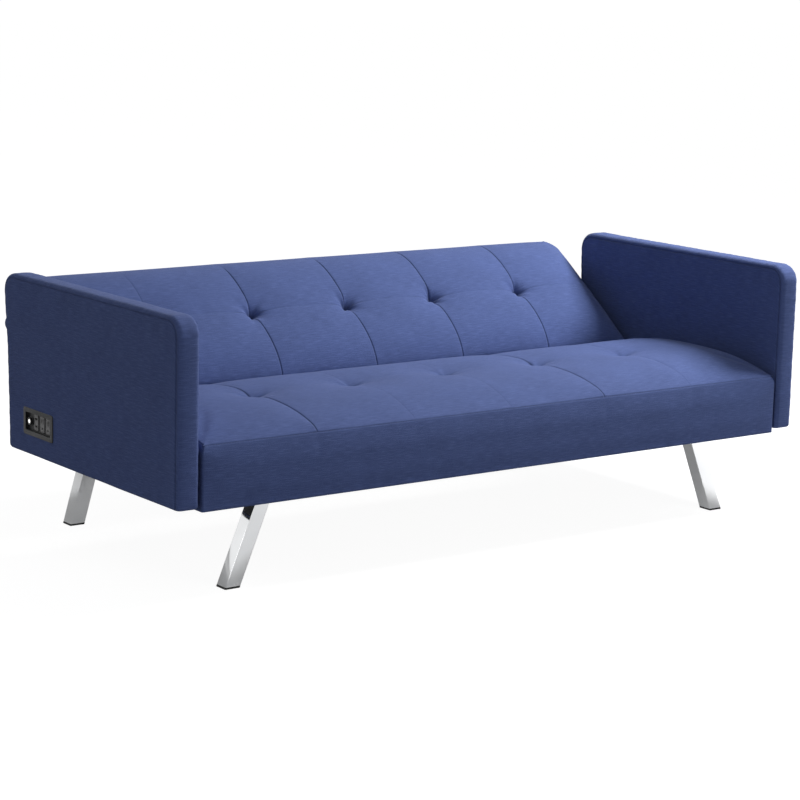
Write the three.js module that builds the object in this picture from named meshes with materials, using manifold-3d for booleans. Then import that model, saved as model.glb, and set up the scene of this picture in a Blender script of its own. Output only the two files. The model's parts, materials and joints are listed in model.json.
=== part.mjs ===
// A three-seat click-clack futon sofa bed: box arms, a tufted seat and a tufted back that reclines
// flat on two ratchet hinges, on four splayed square legs. Millimetres, +Z up, +X to the sofa's
// right as seen from the front, -Y towards the sitter. The origin is on the floor under the middle.

import * as THREE from 'three';
import { mergeVertices } from 'three/addons/utils/BufferGeometryUtils.js';
import Module from 'manifold-3d';

const wasm = await Module();
wasm.setup();

// ---- Driving dimensions -------------------------------------------------------------------------

const WIDTH = 1880;
const CLEAR = 0.3;            // gap left between pieces that touch
const CLOTH = 2;              // cover thickness

const ARM = { thick: 58, depth: 796, bottom: 215, top: 644, crest: 40, tail: 42 };
const SEAT = { half: 875, front: -397, rear: 162, bottom: 207.5, edge: 361, crown: 41 };
const BACK = { half: 868, start: 8, end: 433, depth: 110, edge: 15, crown: 45, corner: 52 };
const PIVOT = { y: 175, z: 346, radius: 5 };
const RECLINE = THREE.MathUtils.degToRad(36);

const TUBE = { wide: 40, tall: 24, wall: 2 };
const FRAME_Z = 210;          // underside of the steel base frame
const SIDE_RAIL_X = 838;
const FRONT_RAIL_Y = -308;
const MIDDLE_RAIL_Y = 110;
const REAR_RAIL_Y = 375;

const BOARD = 18;             // thickness of the softwood boards of the seat box
const BOARD_TOP = 290;
const DECK = 12;
const HEM = 14;               // width of the cover turned in under the seat and the arms

const LEG = { size: 40, wall: 1.6, foot: 4.5, plate: 3, plateWide: 90 };
const LEG_POSTS = [
  { end: 'front', x: 750, y: -308, top: SEAT.bottom - CLEAR, splayX: 0.41, splayY: 0 },
  { end: 'rear', x: 763, y: 395, top: FRAME_Z - CLEAR, splayX: 0.22, splayY: 0.1 },
];

const PANEL = { y: 242, z: 298, wide: 146, tall: 66, rim: 2.5, frame: 8, depth: 30 };
const BUTTON = { y: 290, radius: 9 };

const ARM_X = WIDTH / 2 - ARM.thick;       // inner face of each arm
const FRAME_TOP = FRAME_Z + TUBE.tall;
const DECK_Z = BOARD_TOP + CLEAR;
const DECK_TOP = DECK_Z + DECK;

// The depth from the arms' front to the top rear corner of the reclined back, centred on y = 0.
const BACK_REACH = PIVOT.y + BACK.end * Math.cos(RECLINE) + BACK.depth * Math.sin(RECLINE);
const MIDDLE_Y = (BACK_REACH - ARM.depth / 2) / 2;

// ---- Materials ----------------------------------------------------------------------------------

const LOOKS = {
  fabric: { color: 0x4a5784, roughness: 0.95, metalness: 0 },
  lining: { color: 0x17181c, roughness: 0.95, metalness: 0 },
  foam: { color: 0xd9cfa8, roughness: 1, metalness: 0 },
  wood: { color: 0xb98d5a, roughness: 0.7, metalness: 0 },
  steel: { color: 0x2b2c2f, roughness: 0.5, metalness: 0.8 },
  zinc: { color: 0xa8abad, roughness: 0.35, metalness: 1 },
  chrome: { color: 0xd8dadc, roughness: 0.06, metalness: 1 },
  rubber: { color: 0x141414, roughness: 0.8, metalness: 0 },
  plastic: { color: 0x26272a, roughness: 0.45, metalness: 0 },
  socket: { color: 0x6c6e70, roughness: 0.4, metalness: 0 },
  lens: { color: 0xf2f4f2, roughness: 0.3, metalness: 0 },
};

// ---- Geometry helpers ---------------------------------------------------------------------------

/** A box between two corners. */
function box([x0, x1], [y0, y1], [z0, z1]) {
  const geometry = new THREE.BoxGeometry(x1 - x0, y1 - y0, z1 - z0);
  return geometry.translate((x0 + x1) / 2, (y0 + y1) / 2, (z0 + z1) / 2);
}

/** A closed outline from a list of [u, v] points. */
function outline(points) {
  return new THREE.Shape(points.map(([u, v]) => new THREE.Vector2(u, v)));
}

/** A section drawn in (y, z), pushed along X. */
function alongX(shape, x0, x1, curveSegments = 6) {
  const geometry = new THREE.ExtrudeGeometry(shape, { depth: x1 - x0, bevelEnabled: false, curveSegments });
  const axes = new THREE.Matrix4().set(0, 0, 1, x0, 1, 0, 0, 0, 0, 1, 0, 0, 0, 0, 0, 1);
  return geometry.applyMatrix4(axes);
}

/** A section drawn in (z, x), pushed along Y. */
function alongY(shape, y0, y1) {
  const geometry = new THREE.ExtrudeGeometry(shape, { depth: y1 - y0, bevelEnabled: false });
  const axes = new THREE.Matrix4().set(0, 1, 0, 0, 0, 0, 1, y0, 1, 0, 0, 0, 0, 0, 0, 1);
  return geometry.applyMatrix4(axes);
}

/** A section drawn in (x, y), pushed along Z. */
function alongZ(shape, z0, z1, curveSegments = 6) {
  const geometry = new THREE.ExtrudeGeometry(shape, { depth: z1 - z0, bevelEnabled: false, curveSegments });
  return geometry.translate(0, 0, z0);
}

/** A round bar along X. */
function barX(radius, x0, x1, y, z, segments = 20) {
  const bar = new THREE.CylinderGeometry(radius, radius, x1 - x0, segments);
  return bar.rotateZ(Math.PI / 2).translate((x0 + x1) / 2, y, z);
}

/** A round bar along Z. */
function barZ(radius, z0, z1, x, y, segments = 20) {
  const bar = new THREE.CylinderGeometry(radius, radius, z1 - z0, segments);
  return bar.rotateX(Math.PI / 2).translate(x, y, (z0 + z1) / 2);
}

/** The rectangle between two corners of a section, as a path, for a hole or an outline. */
function rectangle([u0, u1], [v0, v1]) {
  return outline([[u0, v0], [u1, v0], [u1, v1], [u0, v1]]);
}

/** The solid of a closed geometry. */
function solid(geometry) {
  const bare = geometry.clone();
  bare.deleteAttribute('normal');
  bare.deleteAttribute('uv');
  const merged = mergeVertices(bare, 1e-4);
  return new wasm.Manifold(new wasm.Mesh({
    numProp: 3,
    vertProperties: Float32Array.from(merged.attributes.position.array),
    triVerts: Uint32Array.from(merged.index.array),
  }));
}

/** The geometry of a solid. */
function meshOf(body) {
  const { vertProperties, triVerts } = body.getMesh();
  const geometry = new THREE.BufferGeometry();
  geometry.setAttribute('position', new THREE.BufferAttribute(Float32Array.from(vertProperties), 3));
  geometry.setIndex(new THREE.BufferAttribute(Uint32Array.from(triVerts), 1));
  geometry.computeVertexNormals();
  return geometry;
}

/** A geometry with others cut out of it. */
function cut(geometry, ...tools) {
  return meshOf(tools.reduce((body, tool) => body.subtract(solid(tool)), solid(geometry)));
}

/** What two geometries have in common. */
function meet(geometry, other) {
  return meshOf(solid(geometry).intersect(solid(other)));
}

/** Several geometries joined as one. */
function join(geometry, ...others) {
  return meshOf(others.reduce((body, other) => body.add(solid(other)), solid(geometry)));
}

/** The same geometry on side s: -1 is the left, 1 the right. Shapes are drawn on the right. */
function onSide(geometry, s) {
  if (s > 0) return geometry;
  const flipped = meshOf(solid(geometry)).applyMatrix4(new THREE.Matrix4().makeScale(-1, 1, 1));
  const order = Array.from(flipped.index.array);
  for (let i = 0; i < order.length; i += 3) [order[i + 1], order[i + 2]] = [order[i + 2], order[i + 1]];
  flipped.setIndex(order);
  flipped.computeVertexNormals();
  return flipped;
}

const SIDES = [{ side: 'left', s: -1 }, { side: 'right', s: 1 }];

// ---- Assembly -----------------------------------------------------------------------------------

const sofa = new THREE.Group();
sofa.name = 'futon_sofa_bed';
sofa.position.y = -MIDDLE_Y;

const reclined = new THREE.Group();
reclined.position.set(0, PIVOT.y, PIVOT.z);
reclined.rotation.x = RECLINE;
sofa.add(reclined);

/** Adds one named piece to the sofa, or to another group. */
function add(name, look, geometry, group = sofa) {
  const mesh = new THREE.Mesh(geometry, new THREE.MeshStandardMaterial(LOOKS[look]));
  mesh.name = name;
  group.add(mesh);
}

// ---- Legs ---------------------------------------------------------------------------------------

/** Leans an upright solid outwards: x and y move with the height. */
function splay(geometry, post) {
  const lean = new THREE.Matrix4().makeShear(0, 0, 0, 0, 0, 0);
  lean.elements[8] = -post.splayX;
  lean.elements[9] = -post.splayY;
  return geometry.applyMatrix4(lean).translate(post.x, post.y, 0);
}

/** A square tube with a plate welded on top that holds it to the base frame, and its rubber foot. */
function addLeg(post, { side, s }) {
  const half = LEG.size / 2;
  const bore = half - LEG.wall;
  const plateZ = post.top - LEG.plate;
  const ring = rectangle([-half, half], [-half, half]);
  ring.holes.push(rectangle([-bore, bore], [-bore, bore]));
  const tube = new THREE.ExtrudeGeometry(ring, { depth: plateZ + 1 - LEG.foot, bevelEnabled: false });
  tube.translate(0, 0, LEG.foot);
  const plug = bore - CLEAR;
  const foot = join(
    box([-half, half], [-half, half], [0, LEG.foot - CLEAR]),
    box([-plug, plug], [-plug, plug], [1, 4 * LEG.foot]),
  );
  const topX = post.x - post.splayX * post.top;
  const topY = post.y - post.splayY * post.top;
  const reach = LEG.plateWide / 2;
  const plate = box([topX - reach, topX + reach], [topY - half, topY + half], [plateZ, post.top]);
  add(`leg_${post.end}_${side}`, 'chrome', onSide(join(splay(tube, post), plate), s));
  add(`foot_${post.end}_${side}`, 'rubber', onSide(splay(foot, post), s));
}

for (const post of LEG_POSTS) {
  for (const place of SIDES) addLeg(post, place);
}

// ---- Steel base frame ---------------------------------------------------------------------------

/** A rectangular tube's section about (u, v), hollow. */
function tubeSection(u, v, wide, tall) {
  const ring = rectangle([u - wide / 2, u + wide / 2], [v - tall / 2, v + tall / 2]);
  const [w, t] = [wide / 2 - TUBE.wall, tall / 2 - TUBE.wall];
  ring.holes.push(rectangle([u - w, u + w], [v - t, v + t]));
  return ring;
}

/** A frame rail along X at depth y, between the side rails. */
function addCrossRail(name, y) {
  const end = SIDE_RAIL_X - TUBE.wide / 2 - CLEAR;
  const section = tubeSection(y, FRAME_Z + TUBE.tall / 2, TUBE.wide, TUBE.tall);
  add(name, 'steel', alongX(section, -end, end));
}

/** A frame rail along Y at x, from y0 to y1. */
function addLongRail(name, x, y0, y1) {
  const section = tubeSection(FRAME_Z + TUBE.tall / 2, x, TUBE.tall, TUBE.wide);
  add(name, 'steel', alongY(section, y0, y1));
}

const railHalf = TUBE.wide / 2;
addCrossRail('frame_front_rail', FRONT_RAIL_Y);
addCrossRail('frame_middle_rail', MIDDLE_RAIL_Y);
addCrossRail('frame_rear_rail', REAR_RAIL_Y);
addLongRail('frame_left_rail', -SIDE_RAIL_X, FRONT_RAIL_Y - railHalf, REAR_RAIL_Y + railHalf);
addLongRail('frame_right_rail', SIDE_RAIL_X, FRONT_RAIL_Y - railHalf, REAR_RAIL_Y + railHalf);
const betweenRails = [FRONT_RAIL_Y + railHalf + CLEAR, MIDDLE_RAIL_Y - railHalf - CLEAR];
addLongRail('frame_centre_rail', 0, ...betweenRails);

// ---- Seat ---------------------------------------------------------------------------------------

/** The seat's side outline, shrunk by an inset, from a height up. */
function seatOutline(inset, bottom, steps = 14) {
  const middle = (SEAT.front + SEAT.rear) / 2;
  const half = (SEAT.rear - SEAT.front) / 2 - inset;
  const points = [[middle - half, bottom], [middle + half, bottom]];
  for (let i = steps; i >= -steps; i -= 2) {
    const t = i / steps;
    const rise = SEAT.crown * (1 - Math.abs(t) ** 3);
    points.push([middle + half * t, SEAT.edge - inset + rise]);
  }
  return outline(points);
}

/** Cover over the whole seat box, open underneath, with notches for the side rails behind. */
function seatCover() {
  const inner = SEAT.half - CLOTH;
  const skin = cut(
    alongX(seatOutline(0, SEAT.bottom), -SEAT.half, SEAT.half),
    alongX(seatOutline(CLOTH, SEAT.bottom - 10), -inner, inner),
  );
  const notches = [-1, 1].map((s) => {
    const x = s * SIDE_RAIL_X;
    const wide = railHalf + 1;
    return box([x - wide, x + wide], [SEAT.rear - 10, SEAT.rear + 10], [SEAT.bottom - 10, FRAME_TOP + 1]);
  });
  return cut(skin, ...notches, ...armBoltHoles(SEAT.half - 10, SEAT.half + 10));
}

const ARM_BOLT = { radius: 4, head: 8, headTall: 4, z: 263, ys: { front: -250, rear: 40 } };

/** Clearance holes for the arm bolts, through both ends of the seat. */
function armBoltHoles(x0, x1) {
  const radius = ARM_BOLT.radius + CLEAR;
  const right = Object.values(ARM_BOLT.ys).map((y) => barX(radius, x0, x1, y, ARM_BOLT.z, 16));
  const left = Object.values(ARM_BOLT.ys).map((y) => barX(radius, -x1, -x0, y, ARM_BOLT.z, 16));
  return [...right, ...left];
}

const skinX = SEAT.half - CLOTH - CLEAR;
const skinFront = SEAT.front + CLOTH + CLEAR;
const skinRear = SEAT.rear - CLOTH - CLEAR;
const boardZ = [FRAME_TOP + CLEAR, BOARD_TOP];
const boardX = skinX - BOARD - CLEAR;

add('seat_cover', 'fabric', seatCover());
const railSlots = [-1, 1].map((s) => {
  const x = s * SIDE_RAIL_X;
  return box([x - railHalf - 1, x + railHalf + 1], [MIDDLE_RAIL_Y, SEAT.rear + 5], [200, 212]);
});
const lining = box(
  [-SEAT.half + HEM, SEAT.half - HEM],
  [SEAT.front + HEM, SEAT.rear - HEM],
  [SEAT.bottom + CLEAR, FRAME_Z - CLEAR],
);
add('seat_dust_cover', 'lining', cut(lining, ...railSlots));
add('seat_board_front', 'wood', box([-boardX, boardX], [skinFront, skinFront + BOARD], boardZ));
add('seat_board_rear', 'wood', box([-boardX, boardX], [skinRear - BOARD, skinRear], boardZ));
const spine = [skinFront + BOARD + CLEAR, skinRear - BOARD - CLEAR];
add('seat_board_centre', 'wood', box([-BOARD / 2, BOARD / 2], spine, boardZ));
for (const { side, s } of SIDES) {
  const board = box([skinX - BOARD, skinX], [skinFront, skinRear], boardZ);
  add(`seat_board_${side}`, 'wood', onSide(cut(board, ...armBoltHoles(skinX - 30, skinX + 5)), s));
}
const deckX = [-skinX, skinX];
add('seat_deck', 'wood', box(deckX, [skinFront, skinRear], [DECK_Z, DECK_TOP]));
add('seat_foam', 'foam', alongX(seatOutline(CLOTH + CLEAR, DECK_TOP + CLEAR), ...deckX));

// ---- Arms ---------------------------------------------------------------------------------------

/** An arm's side outline, shrunk by an inset: round top corners, the rear one larger. */
function armOutline(inset, bottom = ARM.bottom) {
  const [front, rear] = [-ARM.depth / 2 + inset, ARM.depth / 2 - inset];
  const top = ARM.top - inset;
  const shape = new THREE.Shape();
  shape.moveTo(front, bottom);
  shape.lineTo(rear, bottom);
  shape.absarc(rear - ARM.tail + inset, top - ARM.tail + inset, ARM.tail - inset, 0, Math.PI / 2);
  shape.absarc(front + ARM.crest - inset, top - ARM.crest + inset, ARM.crest - inset, Math.PI / 2, Math.PI);
  return shape;
}

/** The space inside the power panel's frame, grown by a clearance, between two x values. */
function panelSpace(grow, x0, x1) {
  const halfWide = PANEL.wide / 2 - PANEL.frame + grow;
  const halfTall = PANEL.tall / 2 - PANEL.frame + grow;
  return box(
    [x0, x1],
    [PANEL.y - halfWide, PANEL.y + halfWide],
    [PANEL.z - halfTall, PANEL.z + halfTall],
  );
}

const ARM_OUT = WIDTH / 2;
const coreIn = ARM_X + CLOTH + 10;
const coreOut = ARM_OUT - CLOTH - 10;
const liningTop = ARM.bottom + CLOTH;
const GLAND = { x: (coreIn + coreOut) / 2, y: 330, radius: 9, bore: 4.5 };

/** Cover of one arm, open underneath; the left one also has the power panel's opening. */
function armCover(s) {
  const skin = cut(
    alongX(armOutline(0), ARM_X, ARM_OUT),
    alongX(armOutline(CLOTH, ARM.bottom - 10), ARM_X + CLOTH, ARM_OUT - CLOTH),
    ...armBoltHoles(ARM_X - 5, ARM_X + 5),
  );
  return s > 0 ? skin : cut(skin, panelSpace(CLEAR, ARM_OUT - 10, ARM_OUT + 10));
}

/** Padding between the cover and the wooden core. */
function armPadding(s) {
  const skin = CLOTH + CLEAR;
  const core = armCoreBlank(CLEAR);
  const pad = cut(
    alongX(armOutline(skin, liningTop + CLEAR), ARM_X + skin, ARM_OUT - skin),
    core,
    ...armBoltHoles(ARM_X - 5, ARM_X + 40),
  );
  if (s > 0) return pad;
  const gland = barZ(GLAND.radius + CLEAR, ARM.bottom - 5, ARM.bottom + 30, GLAND.x, GLAND.y);
  return cut(pad, panelSpace(2 * CLEAR, ARM_OUT - 40, ARM_OUT + 10), gland);
}

/** The arm's wooden core without its holes, grown by a clearance and open at the foot. */
function armCoreBlank(grow) {
  const inset = CLOTH + 12 - grow;
  return alongX(armOutline(inset, liningTop + CLEAR - 2 * grow), coreIn - grow, coreOut + grow);
}

/** The arm's wooden core; the left one has a pocket for the power panel. */
function armCore(s) {
  const core = cut(armCoreBlank(0), ...armBoltHoles(ARM_X - 5, coreIn + 24));
  if (s > 0) return core;
  const wire = barZ(GLAND.radius + CLEAR, ARM.bottom - 5, PANEL.z, GLAND.x, GLAND.y);
  const channel = box(
    [coreOut - PANEL.depth, coreOut + 5],
    [PANEL.y, GLAND.y + GLAND.radius],
    [PANEL.z - 8, PANEL.z + 8],
  );
  return cut(core, panelSpace(2 * CLEAR, ARM_OUT - PANEL.depth - 1, ARM_OUT + 10), channel, wire);
}

for (const { side, s } of SIDES) {
  const hole = s < 0 ? [barZ(GLAND.radius + CLEAR, ARM.bottom - 15, ARM.bottom + 15, GLAND.x, GLAND.y)] : [];
  const base = box(
    [ARM_X + HEM, ARM_OUT - HEM],
    [-ARM.depth / 2 + HEM, ARM.depth / 2 - HEM],
    [ARM.bottom + CLEAR, liningTop],
  );
  add(`arm_${side}_cover`, 'fabric', onSide(armCover(s), s));
  add(`arm_${side}_padding`, 'foam', onSide(armPadding(s), s));
  add(`arm_${side}_core`, 'wood', onSide(armCore(s), s));
  add(`arm_${side}_base_lining`, 'lining', onSide(cut(base, ...hole), s));
  for (const [end, y] of Object.entries(ARM_BOLT.ys)) {
    const headX = boardX + CLEAR;
    const bolt = join(
      barX(ARM_BOLT.radius, headX - 1, coreIn + 22, y, ARM_BOLT.z, 16),
      barX(ARM_BOLT.head, headX - ARM_BOLT.headTall, headX - CLEAR, y, ARM_BOLT.z, 6),
    );
    add(`arm_bolt_${side}_${end}`, 'zinc', onSide(bolt, s));
  }
}

// ---- Power panel in the left arm ----------------------------------------------------------------

const LIP = 3;                             // how far the bezel overlaps the recessed plate
const fieldX = ARM_OUT - 6;                // face of the recessed plate
const slotDepth = 14;

/** The raised frame on the arm's outer face. */
function panelBezel() {
  const outer = box(
    [ARM_OUT + CLEAR, ARM_OUT + PANEL.rim],
    [PANEL.y - PANEL.wide / 2, PANEL.y + PANEL.wide / 2],
    [PANEL.z - PANEL.tall / 2, PANEL.z + PANEL.tall / 2],
  );
  return cut(outer, panelSpace(-LIP, ARM_OUT - 10, ARM_OUT + 10));
}

/** The box behind the bezel: its face is the recessed plate, with a seat for each insert. */
function panelHousing() {
  const body = panelSpace(-0.5, ARM_OUT - PANEL.depth, ARM_OUT - CLEAR);
  const face = panelSpace(-LIP, fieldX, ARM_OUT + 10);
  const seats = INSERTS.map((insert) => insertBox(insert, CLEAR, slotDepth + 2));
  const well = barX(BUTTON.radius + 0.6, ARM_OUT - 22, ARM_OUT + 5, BUTTON.y, PANEL.z, 24);
  const throat = box(
    [ARM_OUT - PANEL.depth - 5, ARM_OUT - 19],
    [PANEL.y + 10, PANEL.y + 40],
    [PANEL.z - 6, PANEL.z + 6],
  );
  return cut(body, face, ...seats, well, throat);
}

// Each slot is [y, z, width, height] about its insert's middle.
const PORT_SLOTS = [[0, 9, 12, 5.5], [0, -9, 12, 5.5]];
const OUTLET_SLOTS = [[-4, 8, 4.5, 12], [4, 8, 4.5, 12]];
const INSERT = { wide: 20, tall: 38 };
const INSERTS = [
  { name: 'panel_charging_insert', y: 262, slots: PORT_SLOTS },
  { name: 'panel_rear_outlet_insert', y: 231, slots: OUTLET_SLOTS },
  { name: 'panel_front_outlet_insert', y: 203, slots: OUTLET_SLOTS },
];

/** The block of an insert, grown by a clearance, sunk a given depth into the plate. */
function insertBox(insert, grow, depth) {
  const [w, t] = [INSERT.wide / 2 + grow, INSERT.tall / 2 + grow];
  return box([fieldX - depth, fieldX + 2], [insert.y - w, insert.y + w], [PANEL.z - t, PANEL.z + t]);
}

/** An insert with its slots. */
function addInsert(insert) {
  const slots = insert.slots.map(([y, z, wide, tall]) => box(
    [fieldX - slotDepth + 1, fieldX + 5],
    [insert.y + y - wide / 2, insert.y + y + wide / 2],
    [PANEL.z + z - tall / 2, PANEL.z + z + tall / 2],
  ));
  add(insert.name, 'socket', onSide(cut(insertBox(insert, 0, slotDepth), ...slots), -1));
}

add('panel_bezel', 'plastic', onSide(panelBezel(), -1));
add('panel_housing', 'plastic', onSide(panelHousing(), -1));
INSERTS.forEach(addInsert);
const button = barX(BUTTON.radius, ARM_OUT - 16, ARM_OUT + 0.5, BUTTON.y, PANEL.z, 24);
add('panel_button', 'lens', onSide(button, -1));
const gland = join(
  barZ(GLAND.radius, ARM.bottom - 1, ARM.bottom + 18, GLAND.x, GLAND.y, 24),
  barZ(GLAND.radius + 4, ARM.bottom - 3, ARM.bottom - CLEAR, GLAND.x, GLAND.y, 24),
);
const cordWay = barZ(GLAND.bore, ARM.bottom - 10, ARM.bottom + 30, GLAND.x, GLAND.y, 20);
add('cord_gland', 'rubber', onSide(cut(gland, cordWay), -1));

// ---- Back, drawn flat about its pivot and turned up with its group ------------------------------

/** The back's side outline about the pivot, shrunk by an inset, from a depth up. */
function backOutline(inset, bottom, steps = 14) {
  const [start, end] = [BACK.start + inset, BACK.end - inset];
  const points = [[start, bottom], [end, bottom]];
  const [low, high] = [start + 5, end];
  for (let i = steps; i >= -steps; i -= 2) {
    const t = i / steps;
    const rise = BACK.crown * (1 - t ** 4);
    points.push([(low + high) / 2 + ((high - low) / 2) * t, BACK.edge - inset + rise]);
  }
  points.push([start, BACK.edge - inset - 12]);
  return outline(points);
}

/** The back's outline seen from its face, shrunk by an inset, with round upper corners. */
function backPlan(inset) {
  const x = BACK.half - inset;
  const [low, high] = [BACK.start + inset, BACK.end - inset];
  const radius = BACK.corner - inset;
  const shape = new THREE.Shape();
  shape.moveTo(-x, low);
  shape.lineTo(x, low);
  shape.absarc(x - radius, high - radius, radius, 0, Math.PI / 2);
  shape.absarc(radius - x, high - radius, radius, Math.PI / 2, Math.PI);
  return shape;
}

/** The back's whole form, shrunk by an inset, from a depth up. */
function backForm(inset, bottom) {
  const x = BACK.half - inset;
  const crowned = alongX(backOutline(inset, bottom), -x, x);
  return meet(crowned, alongZ(backPlan(inset), bottom - 1, BACK.edge + BACK.crown + 1));
}

const backSkin = CLOTH + CLEAR;
const backX = BACK.half - backSkin;
const backRear = -BACK.depth + backSkin;
const bar = 25;                            // square tube of the back frame
const backFrame = [backRear + CLEAR, backRear + CLEAR + bar];
const backLow = BACK.start + backSkin;
const backHigh = BACK.end - backSkin;
const boardFace = backFrame[1] + CLEAR;
const frameInset = 17;                     // keeps the frame's square corners inside the round ones
const stileFace = backX - frameInset;
const topBar = backHigh - frameInset - bar;
const SPACER = { radius: 9, ys: [70, 130] };

const spacerHoles = SPACER.ys.map((y) => {
  return barX(SPACER.radius + CLEAR, -BACK.half - 5, BACK.half + 5, y, backFrame[0] + bar / 2, 20);
});
const backCover = cut(backForm(0, -BACK.depth), backForm(CLOTH, -BACK.depth - 10), ...spacerHoles);

add('back_cover', 'fabric', backCover, reclined);
add('back_rear_lining', 'lining', alongZ(backPlan(backSkin), -BACK.depth, backRear), reclined);
for (const [name, y0] of [['back_frame_bottom', backLow], ['back_frame_top', topBar]]) {
  const section = tubeSection(y0 + bar / 2, backFrame[0] + bar / 2, bar, bar);
  add(name, 'steel', alongX(section, -stileFace, stileFace), reclined);
}
const stileY = [backLow + bar + CLEAR, topBar - CLEAR];
const stileX = { left: -stileFace + bar / 2, centre: 0, right: stileFace - bar / 2 };
for (const [place, x] of Object.entries(stileX)) {
  const section = tubeSection(backFrame[0] + bar / 2, x, bar, bar);
  add(`back_frame_${place}`, 'steel', alongY(section, ...stileY), reclined);
}
const backBoard = [boardFace, boardFace + 6];
add('back_board', 'wood', alongZ(backPlan(backSkin), ...backBoard), reclined);
add('back_foam', 'foam', backForm(backSkin, backBoard[1] + CLEAR), reclined);

// ---- Ratchet hinges -----------------------------------------------------------------------------

// The hinges stand in the narrow gap between the cushions' ends and the arms. The seat's plate
// carries the pivot pin and the pawl's stud; the back's plate turns just outside it.
const HINGE = {
  seatPlate: [875.3, 877.3], backPlate: [877.6, 880], pinHead: [880.3, 881.3], hub: 15, armEnd: 150,
};
const RATCHET = { root: 20.5, tip: 24, first: -215, last: -125, step: 10 };
const PAWL = { y: 186, z: 300, hub: 7, stud: 3, noseGap: 0.6, thick: 7 };

/** The seat's hinge plate, with the stud that the pawl turns on. */
function hingeSeatPlate() {
  const [front, foot, rear] = [PIVOT.y - 103, PIVOT.z - 91, PIVOT.y + 23];
  const shape = new THREE.Shape();
  shape.moveTo(front, foot);
  shape.lineTo(PIVOT.y - 25, foot);
  shape.lineTo(rear, PAWL.z - 12);
  shape.lineTo(rear, PIVOT.z - 21);
  shape.absarc(PIVOT.y, PIVOT.z, HINGE.hub, 0, 0.7 * Math.PI);
  shape.lineTo(front, PAWL.z);
  const stud = barX(PAWL.stud, HINGE.seatPlate[1] - 1, HINGE.backPlate[1], PAWL.y, PAWL.z, 16);
  const bore = barX(PIVOT.radius + CLEAR, 870, 885, PIVOT.y, PIVOT.z);
  return cut(join(alongX(shape, ...HINGE.seatPlate), stud), bore);
}

/** The toothed rim about the pivot, as a closed outline: saw teeth on its front lower side. */
function ratchetRim() {
  const points = [];
  const at = (radius, degrees) => {
    const angle = THREE.MathUtils.degToRad(degrees);
    points.push([radius * Math.cos(angle), radius * Math.sin(angle)]);
  };
  for (let angle = RATCHET.first; angle < RATCHET.last; angle += RATCHET.step) {
    at(RATCHET.root, angle);
    at(RATCHET.tip, angle + RATCHET.step * 0.8);
  }
  for (let angle = RATCHET.last; angle < RATCHET.first + 360; angle += 15) at(RATCHET.root, angle);
  return outline(points);
}

/** The back's hinge plate: rim, arm and the spacers that stand it off the back's end. */
function hingeBackPlate() {
  const rim = alongX(ratchetRim(), ...HINGE.backPlate);
  const [foot, head] = [HINGE.armEnd - 88, HINGE.armEnd];
  const low = 2 - BACK.depth;
  const arm = outline([[15, -13], [foot, low], [head, low], [head, low + bar - 1], [24, -2], [8, 8]]);
  const spacers = SPACER.ys.map((y) => {
    return barX(SPACER.radius, stileFace + CLEAR, HINGE.backPlate[0] + 1, y, backFrame[0] + bar / 2, 20);
  });
  const bore = barX(PIVOT.radius + CLEAR, 870, 885, 0, 0);
  return cut(join(rim, alongX(arm, ...HINGE.backPlate), ...spacers), bore);
}

/** The pawl: a lever from its stud to a nose that stands just off the teeth. */
function pawl() {
  const away = THREE.MathUtils.degToRad(-135);
  const [dy, dz] = [Math.cos(away), Math.sin(away)];
  const along = (radius, across) => [
    PIVOT.y + radius * dy - across * dz,
    PIVOT.z + radius * dz + across * dy,
  ];
  const nose = RATCHET.tip + PAWL.noseGap;
  const below = -3;
  const above = PAWL.thick + below;
  const lever = outline([
    along(nose, below), along(nose, 0), along(nose + 3, above), [PAWL.y - 1, PAWL.z + 0.93 * PAWL.hub],
    [PAWL.y - 0.86 * PAWL.hub, PAWL.z - 2], along(nose + 9, below),
  ]);
  const hub = barX(PAWL.hub, ...HINGE.backPlate, PAWL.y, PAWL.z, 18);
  const bore = barX(PAWL.stud + CLEAR, 870, 885, PAWL.y, PAWL.z, 16);
  return cut(join(hub, alongX(lever, ...HINGE.backPlate)), bore);
}

for (const { side, s } of SIDES) {
  const pin = join(
    barX(PIVOT.radius, BACK.half + 3, HINGE.pinHead[0] + 0.5, PIVOT.y, PIVOT.z),
    barX(PIVOT.radius + 3, ...HINGE.pinHead, PIVOT.y, PIVOT.z),
  );
  add(`hinge_seat_plate_${side}`, 'zinc', onSide(hingeSeatPlate(), s));
  add(`hinge_back_plate_${side}`, 'zinc', onSide(hingeBackPlate(), s), reclined);
  add(`hinge_pin_${side}`, 'zinc', onSide(pin, s));
  add(`hinge_pawl_${side}`, 'zinc', onSide(pawl(), s));
}

export default sofa;
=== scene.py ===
"""The looks of a click-clack futon sofa bed: upholstery, legs, power panel, finishes and studio.

Metres, +Z up, +X to the sofa's right as seen from the front, -Y towards the sitter. The origin is on
the floor under the middle of the sofa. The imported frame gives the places; the classes below give each
sub-assembly its fine surface.
"""

import json
import logging
import math
from dataclasses import dataclass, field
from enum import Enum
from typing import Any, Callable, Iterable, Sequence

import bmesh
import bpy
import numpy as np
from mathutils import Matrix, Vector, noise
from mathutils.bvhtree import BVHTree

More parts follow.
